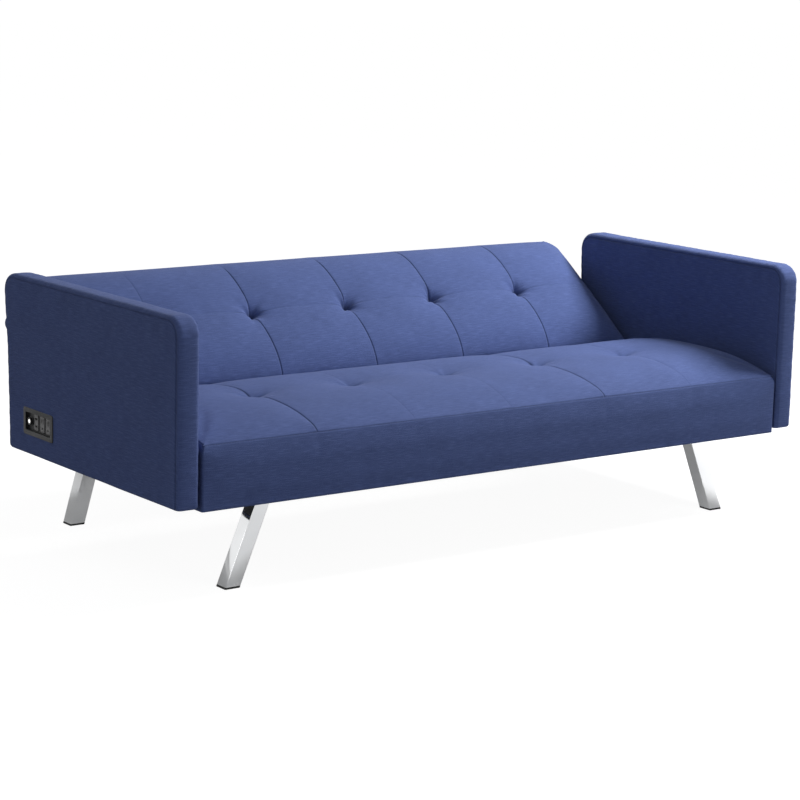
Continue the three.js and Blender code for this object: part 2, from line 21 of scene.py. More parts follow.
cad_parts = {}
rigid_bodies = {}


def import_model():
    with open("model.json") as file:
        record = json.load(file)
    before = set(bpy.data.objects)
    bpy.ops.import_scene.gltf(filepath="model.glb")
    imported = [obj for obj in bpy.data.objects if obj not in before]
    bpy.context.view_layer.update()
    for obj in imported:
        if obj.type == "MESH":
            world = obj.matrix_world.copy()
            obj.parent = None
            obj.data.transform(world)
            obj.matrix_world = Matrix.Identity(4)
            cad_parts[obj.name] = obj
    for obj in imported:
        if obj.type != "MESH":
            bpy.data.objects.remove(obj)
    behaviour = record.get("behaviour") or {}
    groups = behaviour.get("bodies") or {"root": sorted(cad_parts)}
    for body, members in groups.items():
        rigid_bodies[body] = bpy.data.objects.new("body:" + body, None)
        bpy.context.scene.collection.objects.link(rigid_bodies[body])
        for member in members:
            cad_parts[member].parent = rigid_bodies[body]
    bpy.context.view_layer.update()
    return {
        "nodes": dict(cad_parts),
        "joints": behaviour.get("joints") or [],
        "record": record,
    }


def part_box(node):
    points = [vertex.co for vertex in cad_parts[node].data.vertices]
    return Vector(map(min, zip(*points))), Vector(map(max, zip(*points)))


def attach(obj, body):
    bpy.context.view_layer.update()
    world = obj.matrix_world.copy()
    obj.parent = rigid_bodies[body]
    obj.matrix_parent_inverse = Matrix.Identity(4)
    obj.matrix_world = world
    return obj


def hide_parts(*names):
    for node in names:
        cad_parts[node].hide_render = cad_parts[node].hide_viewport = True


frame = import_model()

MM = 0.001
X, Z = 0, 2
TUFT_PITCH = 0.294
RECLINE = math.radians(36)
HEM = 13.7 * MM
UV_NAME = "cloth"
FLAT = "flat"
SHAPED = "shaped"
# Point attribute with the shade painted into seams and tufts.
PAINTED_SHADE = "crease"
LIT = "lit"
WHITE = (1.0, 1.0, 1.0, 1.0)
FLOAT = "NodeSocketFloat"

Colour = tuple[float, float, float]
Groups = dict[str, bpy.types.NodeTree]

log = logging.getLogger("sofa")


class Body(Enum):
    """The bodies of the frame that pieces ride on."""

    BASE = "base"
    BACK = "back"
    BUTTON = "button"


class Slot(Enum):
    """The material slots of the sofa."""

    FABRIC = "fabric"
    LINING = "lining"
    FOAM = "foam"
    WOOD = "wood"
    STEEL = "steel"
    ZINC = "zinc"
    CHROME = "chrome"
    RUBBER = "rubber"
    PLASTIC = "plastic"
    SOCKET = "socket"
    LENS = "lens"


class Side(Enum):
    """The two sides of the sofa, with the sign of their x."""

    LEFT = -1
    RIGHT = 1

    @property
    def label(self) -> str:
        """The side's name as it stands in the nodes' names."""
        return self.name.lower()


Materials = dict[Slot, bpy.types.Material]


# ---- Node graphs ----------------------------------------------------------------------------------


class Graph:
    """A thin helper over one shader node tree."""

    def __init__(self, tree: bpy.types.NodeTree) -> None:
        """Keep the tree that nodes are added to."""
        self.tree = tree

    def node(self, kind: str, inputs: dict[Any, Any] | None = None, **settings: Any) -> bpy.types.Node:
        """Add a node, set its options, and fill or link its inputs.

        Args:
            kind: the node's type without its "ShaderNode" prefix.
            inputs: socket name or number to a value or to another node's output socket.
            **settings: the node's own properties.

        Returns:
            The new node.
        """
        made = self.tree.nodes.new("ShaderNode" + kind)
        for name, value in settings.items():
            setattr(made, name, value)
        return self.fill(made, inputs or {})

    def fill(self, node: bpy.types.Node, inputs: dict[Any, Any]) -> bpy.types.Node:
        """Set or link a node's inputs.

        Args:
            node: the node.
            inputs: socket name or number to a value or to another node's output socket.

        Returns:
            The same node.
        """
        for name, value in inputs.items():
            if isinstance(value, bpy.types.NodeSocket):
                self.tree.links.new(value, node.inputs[name])
            else:
                node.inputs[name].default_value = value
        return node

    def math(self, operation: str, first: Any, second: Any = 0.0) -> bpy.types.NodeSocket:
        """Combine two values with one arithmetic operation and return the result's socket."""
        return self.node("Math", {0: first, 1: second}, operation=operation).outputs[0]

    def noise(self, vector: Any, scale: Any, detail: float = 2.0) -> bpy.types.NodeSocket:
        """Return a noise value between 0 and 1 over a vector."""
        inputs = {"Vector": vector, "Scale": scale, "Detail": detail}
        return self.node("TexNoise", inputs).outputs[0]

    def stretch(self, vector: Any, scale: Sequence[float]) -> bpy.types.NodeSocket:
        """Return a vector scaled along each axis."""
        inputs = {"Vector": vector, "Scale": tuple(scale)}
        return self.node("Mapping", inputs).outputs[0]

    def ramp(self, value: Any, low: float, high: float, to: tuple[float, float]) -> bpy.types.NodeSocket:
        """Spread the values between low and high over the range to, and clamp them there."""
        inputs = {"Value": value, "From Min": low, "From Max": high, "To Min": to[0], "To Max": to[1]}
        return self.node("MapRange", inputs).outputs[0]

    def mix(self, factor: Any, first: Any, second: Any) -> bpy.types.NodeSocket:
        """Return the blend of two colours."""
        inputs = {0: factor, 6: first, 7: second}
        return self.node("Mix", inputs, data_type="RGBA").outputs[2]

    def place(self) -> bpy.types.NodeSocket:
        """Return the object's own coordinates in metres."""
        return self.node("TexCoord").outputs["Object"]

    def bump(self, strength: float, depth: float, height: bpy.types.NodeSocket) -> bpy.types.NodeSocket:
        """Return a normal that stands up by depth where the height is 1."""
        inputs = {"Strength": strength, "Distance": depth, "Height": height}
        return self.node("Bump", inputs).outputs[0]


def fresh_graph(owner: bpy.types.Material | bpy.types.World) -> Graph:
    """Turn on the owner's nodes, clear them and return a graph over them."""
    owner.use_nodes = True
    owner.node_tree.nodes.clear()
    return Graph(owner.node_tree)


def new_group(
    name: str, inputs: dict[str, float], outputs: Iterable[str]
) -> tuple[Graph, bpy.types.Node, bpy.types.Node]:
    """Start a shader node group over a vector.

    Args:
        name: the group's name.
        inputs: each further input's name to its default value.
        outputs: the names of the values that the group puts out.

    Returns:
        A graph over the group's tree, its input node and its output node.
    """
    tree = bpy.data.node_groups.new(name, "ShaderNodeTree")
    tree.interface.new_socket("Vector", in_out="INPUT", socket_type="NodeSocketVector")
    for label, default in inputs.items():
        tree.interface.new_socket(label, in_out="INPUT", socket_type=FLOAT).default_value = default
    for label in outputs:
        tree.interface.new_socket(label, in_out="OUTPUT", socket_type=FLOAT)
    return Graph(tree), tree.nodes.new("NodeGroupInput"), tree.nodes.new("NodeGroupOutput")


def weave_group() -> bpy.types.NodeTree:
    """Build the linen weave: crossing threads, slubs along both threads and broad colour drift.

    Returns:
        The node group. Its vector is the cloth's own flat coordinates in metres.
    """
    graph, given, result = new_group("linen_weave", {"Pitch": 1.1 * MM}, ("Height", "Slub", "Drift"))
    flat = given.outputs["Vector"]
    split = graph.node("SeparateXYZ", {0: flat})
    turns = graph.math("DIVIDE", math.pi, given.outputs["Pitch"])
    across = graph.math("SINE", graph.math("MULTIPLY", split.outputs[0], turns))
    along = graph.math("SINE", graph.math("MULTIPLY", split.outputs[1], turns))
    threads = graph.math("MULTIPLY", across, along)
    weft = graph.noise(graph.stretch(flat, (34, 420, 1)), 1.0, 4.0)
    warp = graph.noise(graph.stretch(flat, (420, 40, 1)), 1.0, 3.0)
    slub_weft = graph.ramp(weft, 0.42, 0.72, (0.0, 1.0))
    slub_warp = graph.ramp(warp, 0.46, 0.76, (0.0, 0.6))
    slub = graph.math("MAXIMUM", slub_weft, slub_warp)
    height = graph.math("ADD", graph.math("MULTIPLY", threads, 0.35), graph.math("MULTIPLY", slub, 0.65))
    drift = graph.ramp(graph.noise(flat, 9.0, 3.0), 0.3, 0.7, (0.0, 1.0))
    graph.fill(result, {"Height": height, "Slub": slub, "Drift": drift})
    return graph.tree


def wear_group() -> bpy.types.NodeTree:
    """Build the fine grain, the smudges and the dust that hard surfaces share.

    Returns:
        The node group. Its vector is the object's own coordinates in metres.
    """
    inputs = {"Grain": 900.0, "Smudge": 14.0}
    graph, given, result = new_group("grain_and_smudge", inputs, ("Grain", "Smudge", "Dust"))
    place = given.outputs["Vector"]
    made = {name: graph.noise(place, given.outputs[name]) for name in inputs}
    dust = graph.ramp(graph.noise(place, 60.0, 4.0), 0.55, 0.75, (0.0, 1.0))
    graph.fill(result, made | {"Dust": dust})
    return graph.tree


# ---- Finishes -------------------------------------------------------------------------------------

def rgba(colour: Colour, scale: float = 1.0) -> tuple[float, float, float, float]:
    """Return a colour with full alpha, made lighter or darker by a factor."""
    return (*(min(1.0, channel * scale) for channel in colour), 1.0)


@dataclass(frozen=True)
class Finish:
    """A material of the sofa, built once and shared by every piece in its slot."""

    slot: Slot
    colour: Colour
    roughness: float = 0.5
    metallic: float = 0.0

    def material(self, groups: Groups) -> bpy.types.Material:
        """Build the material.

        Args:
            groups: the shared node groups by name.

        Returns:
            The finished material.
        """
        made = bpy.data.materials.new(self.slot.value)
        graph = fresh_graph(made)
        shader = graph.node("BsdfPrincipled", {"Metallic": self.metallic, "Roughness": self.roughness})
        graph.node("OutputMaterial", {0: shader.outputs[0]})
        self.paint(graph, shader, groups)
        return made

    def paint(self, graph: Graph, shader: bpy.types.Node, groups: Groups) -> None:
        """Fill the shader with a lightly grained, lightly smudged surface.

        Args:
            graph: the material's graph.
            shader: its surface shader.
            groups: the shared node groups by name.
        """
        self.grained(graph, shader, groups, grain=900.0, spread=0.08, depth=0.02 * MM)

    def grained(
        self,
        graph: Graph,
        shader: bpy.types.Node,
        groups: Groups,
        grain: float,
        spread: float,
        depth: float,
    ) -> bpy.types.Node:
        """Give the shader its colour, roughness and bump from the shared grain.

        Args:
            graph: the material's graph.
            shader: its surface shader.
            groups: the shared node groups by name.
            grain: how fine the grain is, in cells a metre.
            spread: how far the roughness varies either way.
            depth: the height of the grain in metres.

        Returns:
            The group node, for finishes that use its other outputs.
        """
        place = graph.place()
        worn = graph.node("Group", {"Vector": place, "Grain": grain}, node_tree=groups["wear"])
        tint = graph.mix(worn.outputs["Smudge"], rgba(self.colour, 0.92), rgba(self.colour, 1.08))
        low, high = self.roughness - spread, self.roughness + spread
        rough = graph.ramp(worn.outputs["Smudge"], 0.3, 0.7, (max(0.02, low), min(1.0, high)))
        bump = graph.bump(1.0, depth, worn.outputs["Grain"])
        graph.fill(shader, {"Base Color": tint, "Roughness": rough, "Normal": bump})
        return worn


@dataclass(frozen=True)
class Linen(Finish):
    """Linen-look upholstery with slubs, with shade painted darker into its seams and tufts."""

    pitch: float = 1.1 * MM
    seam_shade: float = 0.36

    def paint(self, graph: Graph, shader: bpy.types.Node, groups: Groups) -> None:
        """Fill the shader with the weave on the cloth's own coordinates."""
        flat = graph.node("UVMap", uv_map=UV_NAME).outputs[0]
        weave = graph.node("Group", {"Vector": flat, "Pitch": self.pitch}, node_tree=groups["weave"])
        drifted = graph.mix(weave.outputs["Drift"], rgba(self.colour, 0.86), rgba(self.colour, 1.1))
        threads = graph.mix(weave.outputs["Slub"], rgba(self.colour, 0.84), rgba(self.colour, 1.45))
        cloth = graph.mix(0.55, drifted, threads)
        # Painted shade: the cloth's colour is darkened towards seam_shade where the stored seam and tuft
        # shade is high.
        crease = graph.node("Attribute", attribute_name=PAINTED_SHADE).outputs["Fac"]
        painted_shade_colour = graph.mix(crease, cloth, rgba(self.colour, self.seam_shade))
        rough = graph.ramp(weave.outputs["Slub"], 0.0, 1.0, (self.roughness, self.roughness - 0.12))
        bump = graph.bump(0.9, 0.4 * MM, weave.outputs["Height"])
        graph.fill(shader, {"Base Color": painted_shade_colour, "Roughness": rough, "Normal": bump})
        sheen = {"Sheen Weight": 0.12, "Sheen Roughness": 0.45, "Sheen Tint": (0.7, 0.78, 1.0, 1.0)}
        graph.fill(shader, {"Specular IOR Level": 0.25} | sheen)


@dataclass(frozen=True)
class Nonwoven(Finish):
    """Black bonded lining with a quilted dot pattern pressed into its fibres."""

    dot: float = 2.2 * MM

    def paint(self, graph: Graph, shader: bpy.types.Node, groups: Groups) -> None:
        """Fill the shader with matted fibres and rows of pressed dots."""
        place = graph.place()
        fibres = graph.noise(place, 700.0, 5.0)
        split = graph.node("SeparateXYZ", {0: place})
        turns = math.pi / self.dot
        waves = [graph.math("SINE", graph.math("MULTIPLY", split.outputs[n], turns)) for n in range(2)]
        dots = graph.ramp(graph.math("MULTIPLY", *waves), 0.55, 0.8, (0.0, 1.0))
        height = graph.math("SUBTRACT", fibres, dots)
        tint = graph.mix(fibres, rgba(self.colour, 0.7), rgba(self.colour, 1.6))
        graph.fill(shader, {"Base Color": tint, "Normal": graph.bump(0.7, 0.25 * MM, height)})


@dataclass(frozen=True)
class Foam(Finish):
    """Open-cell foam."""

    def paint(self, graph: Graph, shader: bpy.types.Node, groups: Groups) -> None:
        """Fill the shader with small open cells."""
        place = graph.place()
        cells = graph.node("TexVoronoi", {"Vector": place, "Scale": 600.0}).outputs["Distance"]
        tint = graph.mix(cells, rgba(self.colour, 0.7), rgba(self.colour, 1.1))
        graph.fill(shader, {"Base Color": tint, "Normal": graph.bump(0.9, 0.6 * MM, cells)})


@dataclass(frozen=True)
class Softwood(Finish):
    """Sawn softwood with growth rings stretched along the board."""

    def paint(self, graph: Graph, shader: bpy.types.Node, groups: Groups) -> None:
        """Fill the shader with rings and fine fibres along X."""
        place = graph.place()
        drawn = graph.stretch(place, (1.2, 14.0, 22.0))
        inputs = {"Vector": drawn, "Scale": 2.4, "Distortion": 3.5, "Detail": 3.0}
        rings = graph.node("TexWave", inputs, bands_direction="Y").outputs[1]
        fibres = graph.noise(graph.stretch(place, (30.0, 700.0, 700.0)), 1.0, 4.0)
        pattern = graph.math("ADD", graph.math("MULTIPLY", rings, 0.6), graph.math("MULTIPLY", fibres, 0.4))
        tint = graph.mix(pattern, rgba(self.colour, 1.15), rgba(self.colour, 0.6))
        rough = graph.ramp(pattern, 0.0, 1.0, (self.roughness, self.roughness + 0.15))
        bump = graph.bump(0.6, 0.3 * MM, fibres)
        graph.fill(shader, {"Base Color": tint, "Roughness": rough, "Normal": bump})


@dataclass(frozen=True)
class Chrome(Finish):
    """Polished chrome plate with faint smudges."""

    def paint(self, graph: Graph, shader: bpy.types.Node, groups: Groups) -> None:
        """Fill the shader with a mirror that is a little duller where it was touched."""
        self.grained(graph, shader, groups, grain=160.0, spread=0.03, depth=0.002 * MM)


@dataclass(frozen=True)
class BrushedZinc(Finish):
    """Zinc-plated steel with the drawn lines of its rolling."""

    def paint(self, graph: Graph, shader: bpy.types.Node, groups: Groups) -> None:
        """Fill the shader with fine lines along Y and a passivated sheen."""
        place = graph.place()
        lines = graph.noise(graph.stretch(place, (900.0, 40.0, 900.0)), 1.0, 3.0)
        bloom = graph.noise(place, 40.0, 3.0)
        tint = graph.mix(bloom, rgba(self.colour, 0.85), rgba(self.colour, 1.15))
        rough = graph.ramp(lines, 0.3, 0.7, (self.roughness - 0.1, self.roughness + 0.12))
        bump = graph.bump(0.5, 0.05 * MM, lines)
        graph.fill(shader, {"Base Color": tint, "Roughness": rough, "Normal": bump})


@dataclass(frozen=True)
class Moulded(Finish):
    """Rubber or plastic moulded in a spark-textured tool."""

    texture: float = 1400.0
    depth: float = 0.05 * MM
    coat: float = 0.0

    def paint(self, graph: Graph, shader: bpy.types.Node, groups: Groups) -> None:
        """Fill the shader with the tool's texture and a trace of dust."""
        worn = self.grained(graph, shader, groups, self.texture, 0.08, self.depth)
        tint = shader.inputs["Base Color"].links[0].from_socket
        dust = graph.math("MULTIPLY", worn.outputs["Dust"], 0.06)
        dusty = graph.mix(dust, tint, (0.4, 0.38, 0.35, 1.0))
        graph.fill(shader, {"Base Color": dusty, "Coat Weight": self.coat})


@dataclass(frozen=True)
class LitLens(Finish):
    """A smoked cap with a small translucent window in its middle, lit from inside."""

    glow: float = 1.0

    def paint(self, graph: Graph, shader: bpy.types.Node, groups: Groups) -> None:
        """Fill the shader with a glow in the middle of a smoked skin."""
        self.grained(graph, shader, groups, grain=400.0, spread=0.05, depth=0.01 * MM)
        tint = shader.inputs["Base Color"].links[0].from_socket
        lit = graph.node("Attribute", attribute_name=LIT).outputs["Fac"]
        skin = graph.mix(lit, (0.02, 0.02, 0.022, 1.0), tint)
        shine = graph.mix(lit, (0.0, 0.0, 0.0, 1.0), (1.0, 1.0, 0.97, 1.0))
        glowing = {"Emission Color": shine, "Emission Strength": self.glow}
        graph.fill(shader, {"Base Color": skin} | glowing)


FINISHES = (
    Linen(Slot.FABRIC, (0.080, 0.119, 0.305), 0.92),
    Nonwoven(Slot.LINING, (0.016, 0.016, 0.019), 0.95),
    Foam(Slot.FOAM, (0.75, 0.68, 0.45), 0.95),
    Softwood(Slot.WOOD, (0.48, 0.29, 0.13), 0.6),
    Moulded(Slot.STEEL, (0.03, 0.03, 0.035), 0.45, 0.3, texture=700.0, depth=0.1 * MM),
    BrushedZinc(Slot.ZINC, (0.5, 0.51, 0.52), 0.34, 1.0),
    Chrome(Slot.CHROME, (0.78, 0.79, 0.8), 0.07, 1.0),
    Moulded(Slot.RUBBER, (0.02, 0.02, 0.02), 0.75, texture=900.0, depth=0.08 * MM),
    Moulded(Slot.PLASTIC, (0.011, 0.012, 0.014), 0.42),
    Moulded(Slot.SOCKET, (0.17, 0.17, 0.175), 0.35, coat=0.15),
    LitLens(Slot.LENS, (0.85, 0.87, 0.85), 0.25),
)


def build_materials() -> Materials:
    """Build every finish over the shared node groups and return the materials by slot."""
    groups = {"weave": weave_group(), "wear": wear_group()}
    return {finish.slot: finish.material(groups) for finish in FINISHES}


# ---- Mesh tools -----------------------------------------------------------------------------------


def deselect_all() -> None:
    """Leave nothing selected, so that an operator acts only on what is selected next."""
    if bpy.context.object and bpy.context.object.mode != "OBJECT":
        bpy.ops.object.mode_set(mode="OBJECT")
    for obj in bpy.context.scene.objects:
        obj.select_set(False)


def activate(obj: bpy.types.Object) -> bpy.types.Object:
    """Select one object alone and make it active.

    Args:
        obj: the object.

    Returns:
        The same object.
    """
    deselect_all()
    obj.select_set(True)
    bpy.context.view_layer.objects.active = obj
    return obj


def add_object(name: str, data: bpy.types.ID) -> bpy.types.Object:
    """Put data into the scene as an object and return the object.

    Args:
        name: the object's name.
        data: its mesh, camera or light.

    Returns:
        The new object.
    """
    obj = bpy.data.objects.new(name, data)
    bpy.context.scene.collection.objects.link(obj)
    return obj


def apply_modifier(obj: bpy.types.Object, kind: str, **settings: Any) -> None:
    """Add a modifier to an object, set it and apply it.

    Args:
        obj: the object.
        kind: the modifier's type.
        **settings: the modifier's own properties.
    """
    activate(obj)
    modifier = obj.modifiers.new(kind.lower(), kind)
    for name, value in settings.items():
        setattr(modifier, name, value)
    bpy.ops.object.modifier_apply(modifier=modifier.name)


def new_block(name: str, low: Sequence[float], high: Sequence[float]) -> bpy.types.Object:
    """Add a block between two corners, with its place in its mesh.

    Args:
        name: the object's name.
        low: the lowest corner.
        high: the highest corner.

    Returns:
        The block, active and selected alone.
    """
    deselect_all()
    centre = [(a + b) / 2 for a, b in zip(low, high)]
    size = [b - a for a, b in zip(low, high)]
    bpy.ops.mesh.primitive_cube_add(size=1, location=centre, scale=size)
    return named_in_place(name)


def new_bar(
    name: str, radius: float, start: Sequence[float], end: Sequence[float], sides: int
) -> bpy.types.Object:
    """Add a round bar between two points on one axis, with its place in its mesh.

    Args:
        name: the object's name.
        radius: the bar's radius.
        start: the centre of one end.
        end: the centre of the other end.
        sides: how many sides the round has.

    Returns:
        The bar, active and selected alone.
    """
    deselect_all()
    axis = Vector(end) - Vector(start)
    turn = axis.to_track_quat("Z", "Y").to_euler()
    centre = (Vector(end) + Vector(start)) / 2
    bpy.ops.mesh.primitive_cylinder_add(
        vertices=sides, radius=radius, depth=axis.length, location=centre, rotation=turn
    )
    return named_in_place(name)


def named_in_place(name: str) -> bpy.types.Object:
    """Name the active object and move its place, turn and size into its mesh.

    Args:
        name: the new name of the object and of its mesh.

    Returns:
        The object.
    """
    made = bpy.context.object
    made.name = name
    made.data.name = name
    bpy.ops.object.transform_apply(location=True, rotation=True, scale=True)
    return made


def select_in_edit(obj: bpy.types.Object, mode: str, wanted: Callable[[Any], bool]) -> None:
    """Enter edit mode with only the wanted elements selected.

    Args:
        obj: the object to edit.
        mode: VERT, EDGE or FACE.
        wanted: tells for one bmesh element whether it is selected.
    """
    activate(obj)
    bpy.ops.object.mode_set(mode="EDIT")
    bpy.ops.mesh.select_mode(type=mode)
    bpy.ops.mesh.select_all(action="DESELECT")
    mesh = bmesh.from_edit_mesh(obj.data)
    elements = {"VERT": mesh.verts, "EDGE": mesh.edges, "FACE": mesh.faces}[mode]
    for element in elements:
        element.select = wanted(element)
    mesh.select_flush_mode()
    bmesh.update_edit_mesh(obj.data)


def leave_edit() -> None:
    """Go back to object mode."""
    bpy.ops.object.mode_set(mode="OBJECT")


def along(axis: int, least: float = MM) -> Callable[[bmesh.types.BMEdge], bool]:
    """Return a test for the edges that run along an axis by more than a length."""
    return lambda edge: abs(edge.verts[0].co[axis] - edge.verts[1].co[axis]) > least


def facing(axis: int) -> Callable[[bmesh.types.BMFace], bool]:
    """Return a test for the faces that face down an axis."""
    return lambda face: face.normal[axis] < -0.9


def inset_faces(
    obj: bpy.types.Object, wanted: Callable[[Any], bool], *steps: tuple[float, float]
) -> None:
    """Inset the wanted faces in steps, each with its thickness and depth.

    Args:
        obj: the object.
        wanted: tells for one face whether it is inset.
        *steps: the thickness and depth of each inset in turn.
    """
    select_in_edit(obj, "FACE", wanted)
    for thickness, depth in steps:
        bpy.ops.mesh.inset(thickness=thickness, depth=depth)
    leave_edit()


def bevel_edges(
    obj: bpy.types.Object, offset: float, segments: int, wanted: Callable[[Any], bool]
) -> None:
    """Round the wanted edges of an object."""
    select_in_edit(obj, "EDGE", wanted)
    bpy.ops.mesh.bevel(offset=offset, segments=segments, profile=0.5, affect="EDGES")
    leave_edit()


def soften(obj: bpy.types.Object, width: float, segments: int = 2, degrees: float = 30.0) -> None:
    """Round every sharp edge of an object a little."""
    settings = {"width": width, "segments": segments, "limit_method": "ANGLE"}
    apply_modifier(obj, "BEVEL", angle_limit=math.radians(degrees), harden_normals=False, **settings)


def carve(obj: bpy.types.Object, *tools: bpy.types.Object) -> None:
    """Cut tools out of an object and remove them."""
    for tool in tools:
        apply_modifier(obj, "BOOLEAN", operation="DIFFERENCE", solver="EXACT", object=tool)
        bpy.data.objects.remove(tool)


def join_pieces(first: bpy.types.Object, *others: bpy.types.Object) -> bpy.types.Object:
    """Join objects into the first and return it.

    Args:
        first: the object that is kept.
        *others: the objects that go into it.

    Returns:
        The first object.
    """
    deselect_all()
    for obj in (first, *others):
        obj.select_set(True)
    bpy.context.view_layer.objects.active = first
    bpy.ops.object.join()
    return first


def shade(obj: bpy.types.Object, degrees: float = 35.0) -> None:
    """Shade an object smooth, with its sharp edges kept."""
    activate(obj)
    bpy.ops.object.shade_smooth_by_angle(angle=math.radians(degrees))


def finished(
    obj: bpy.types.Object, width: float, segments: int = 2, degrees: float = 30.0
) -> bpy.types.Object:
    """Soften an object's sharp edges, shade it smooth and return it."""
    soften(obj, width, segments, degrees)
    shade(obj)
    return obj


def read_vectors(source: bpy.types.bpy_prop_collection, label: str = "vector") -> np.ndarray:
    """Return one vector an element of a collection as an array."""
    flat = np.zeros(len(source) * 3, np.float32)
    source.foreach_get(label, flat)
    return flat.reshape(-1, 3).astype(float)


def coordinates(obj: bpy.types.Object) -> np.ndarray:
    """Return the object's vertices as an array of points."""
    return read_vectors(obj.data.vertices, "co")


def vertex_normals(obj: bpy.types.Object) -> np.ndarray:
    """Return the object's vertex normals as an array of vectors."""
    return read_vectors(obj.data.vertex_normals)


def move_vertices(obj: bpy.types.Object, points: np.ndarray) -> None:
    """Give the object's vertices new places."""
    obj.data.vertices.foreach_set("co", points.astype(np.float32).ravel())
    obj.data.update()


def put_attribute(obj: bpy.types.Object, name: str, kind: str, values: np.ndarray) -> None:
    """Store one value or vector a vertex under a name."""
    attribute = obj.data.attributes.get(name) or obj.data.attributes.new(name, kind, "POINT")
    field = "vector" if kind == "FLOAT_VECTOR" else "value"
    attribute.data.foreach_set(field, values.astype(np.float32).ravel())


def get_vectors(obj: bpy.types.Object, name: str) -> np.ndarray:
    """Read the vectors stored under a name."""
    return read_vectors(obj.data.attributes[name].data)


def bell(distance: np.ndarray, width: float) -> np.ndarray:
    """Return 1 at no distance, falling smoothly to nothing over a width or two."""
    return np.exp(-((distance / width) ** 2))


def smoothstep(low: float, high: float, values: np.ndarray) -> np.ndarray:
    """Return 0 under low, 1 over high and a smooth rise between."""
    share = np.clip((values - low) / (high - low), 0.0, 1.0)
    return share * share * (3 - 2 * share)


def dress(
    obj: bpy.types.Object,
    body: Body,
    slot: Slot,
    materials: Materials,
    nodes: Iterable[str] = (),
) -> bpy.types.Object:
    """Give a finished piece the material of its slot and its body, and hide the nodes of the frame that it
    replaces.

    Args:
        obj: the finished piece.
        body: the body that it rides on.
        slot: the material slot that it takes its finish from.
        materials: the materials by slot.
        nodes: the nodes of the frame that it replaces.

    Returns:
        The piece.
    """
    obj.data.materials.clear()
    obj.data.materials.append(materials[slot])
    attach(obj, body.value)
    if nodes:
        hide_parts(*nodes)
    log.info("piece %s: %d faces on %s", obj.name, len(obj.data.polygons), body.value)
    return obj


# ---- Lattice shells -------------------------------------------------------------------------------


def lattice_lines(
    start: float, stop: float, step: float, marks: Iterable[float] = (), cluster: Iterable[float] = ()
) -> np.ndarray:
    """Return lattice lines from start to stop, crowded together at the marks.

    Args:
        start: the first line.
        stop: the last line.
        step: the spacing away from the marks.
        marks: places that get a line of their own.
        cluster: distances from each mark, on both sides, that get a line too.

    Returns:
        The lines in order.
    """
    fixed = {start, stop}
    for mark in marks:
        for offset in (0.0, *cluster, *(-c for c in cluster)):
            if start < mark + offset < stop:
                fixed.add(round(mark + offset, 7))
    stops = sorted(fixed)
    lines = [stops[0]]
    for low, high in zip(stops, stops[1:]):
        count = max(1, round((high - low) / step))
        lines += [low + (high - low) * n / count for n in range(1, count + 1)]
    return np.array(lines)


@dataclass
class Lattice:
    """The outside of a box on three sets of lines: a top, four walls and an open underside."""

    xs: np.ndarray
    ys: np.ndarray
    zs: np.ndarray

    def mesh(self, name: str) -> bpy.types.Object:
        """Build the box as an object with its flat coordinates kept as an attribute and a UV map.

        Args:
            name: the object's name.

        Returns:
            The open box, with its faces pointing out.
        """
        nx, ny, nz = len(self.xs) - 1, len(self.ys) - 1, len(self.zs) - 1
        index: dict[tuple[int, int, int], int] = {}
        faces: list[tuple[int, ...]] = []
        uvs: list[tuple[float, float]] = []

        def corner(i: int, j: int, k: int) -> int:
            """Return the number of the vertex on three lines."""
            return index.setdefault((i, j, k), len(index))

        def quad(corners: Sequence[tuple[int, int, int]], u: int, v: int) -> None:
            """Add a face, with two of its three flat coordinates as its UVs."""
            faces.append(tuple(corner(*c) for c in corners))
            for i, j, k in corners:
                flat = (self.xs[i], self.ys[j], self.zs[k])
                uvs.append((flat[u], flat[v]))

        for i in range(nx):
            for j in range(ny):
                quad(((i, j, nz), (i + 1, j, nz), (i + 1, j + 1, nz), (i, j + 1, nz)), 0, 1)
            for k in range(nz):
                quad(((i, 0, k), (i + 1, 0, k), (i + 1, 0, k + 1), (i, 0, k + 1)), 0, 2)
                quad(((i, ny, k), (i, ny, k + 1), (i + 1, ny, k + 1), (i + 1, ny, k)), 0, 2)
        for j in range(ny):
            for k in range(nz):
                quad(((0, j, k), (0, j, k + 1), (0, j + 1, k + 1), (0, j + 1, k)), 1, 2)
                quad(((nx, j, k), (nx, j + 1, k), (nx, j + 1, k + 1), (nx, j, k + 1)), 1, 2)
        points = np.array([(self.xs[i], self.ys[j], self.zs[k]) for i, j, k in index])
        data = bpy.data.meshes.new(name)
        data.from_pydata(points.tolist(), [], faces)
        layer = data.uv_layers.new(name=UV_NAME)
        layer.data.foreach_set("uv", np.array(uvs, np.float32).ravel())
        obj = add_object(name, data)
        put_attribute(obj, FLAT, "FLOAT_VECTOR", points)
        data.polygons.foreach_set("use_smooth", np.ones(len(faces), bool))
        return obj


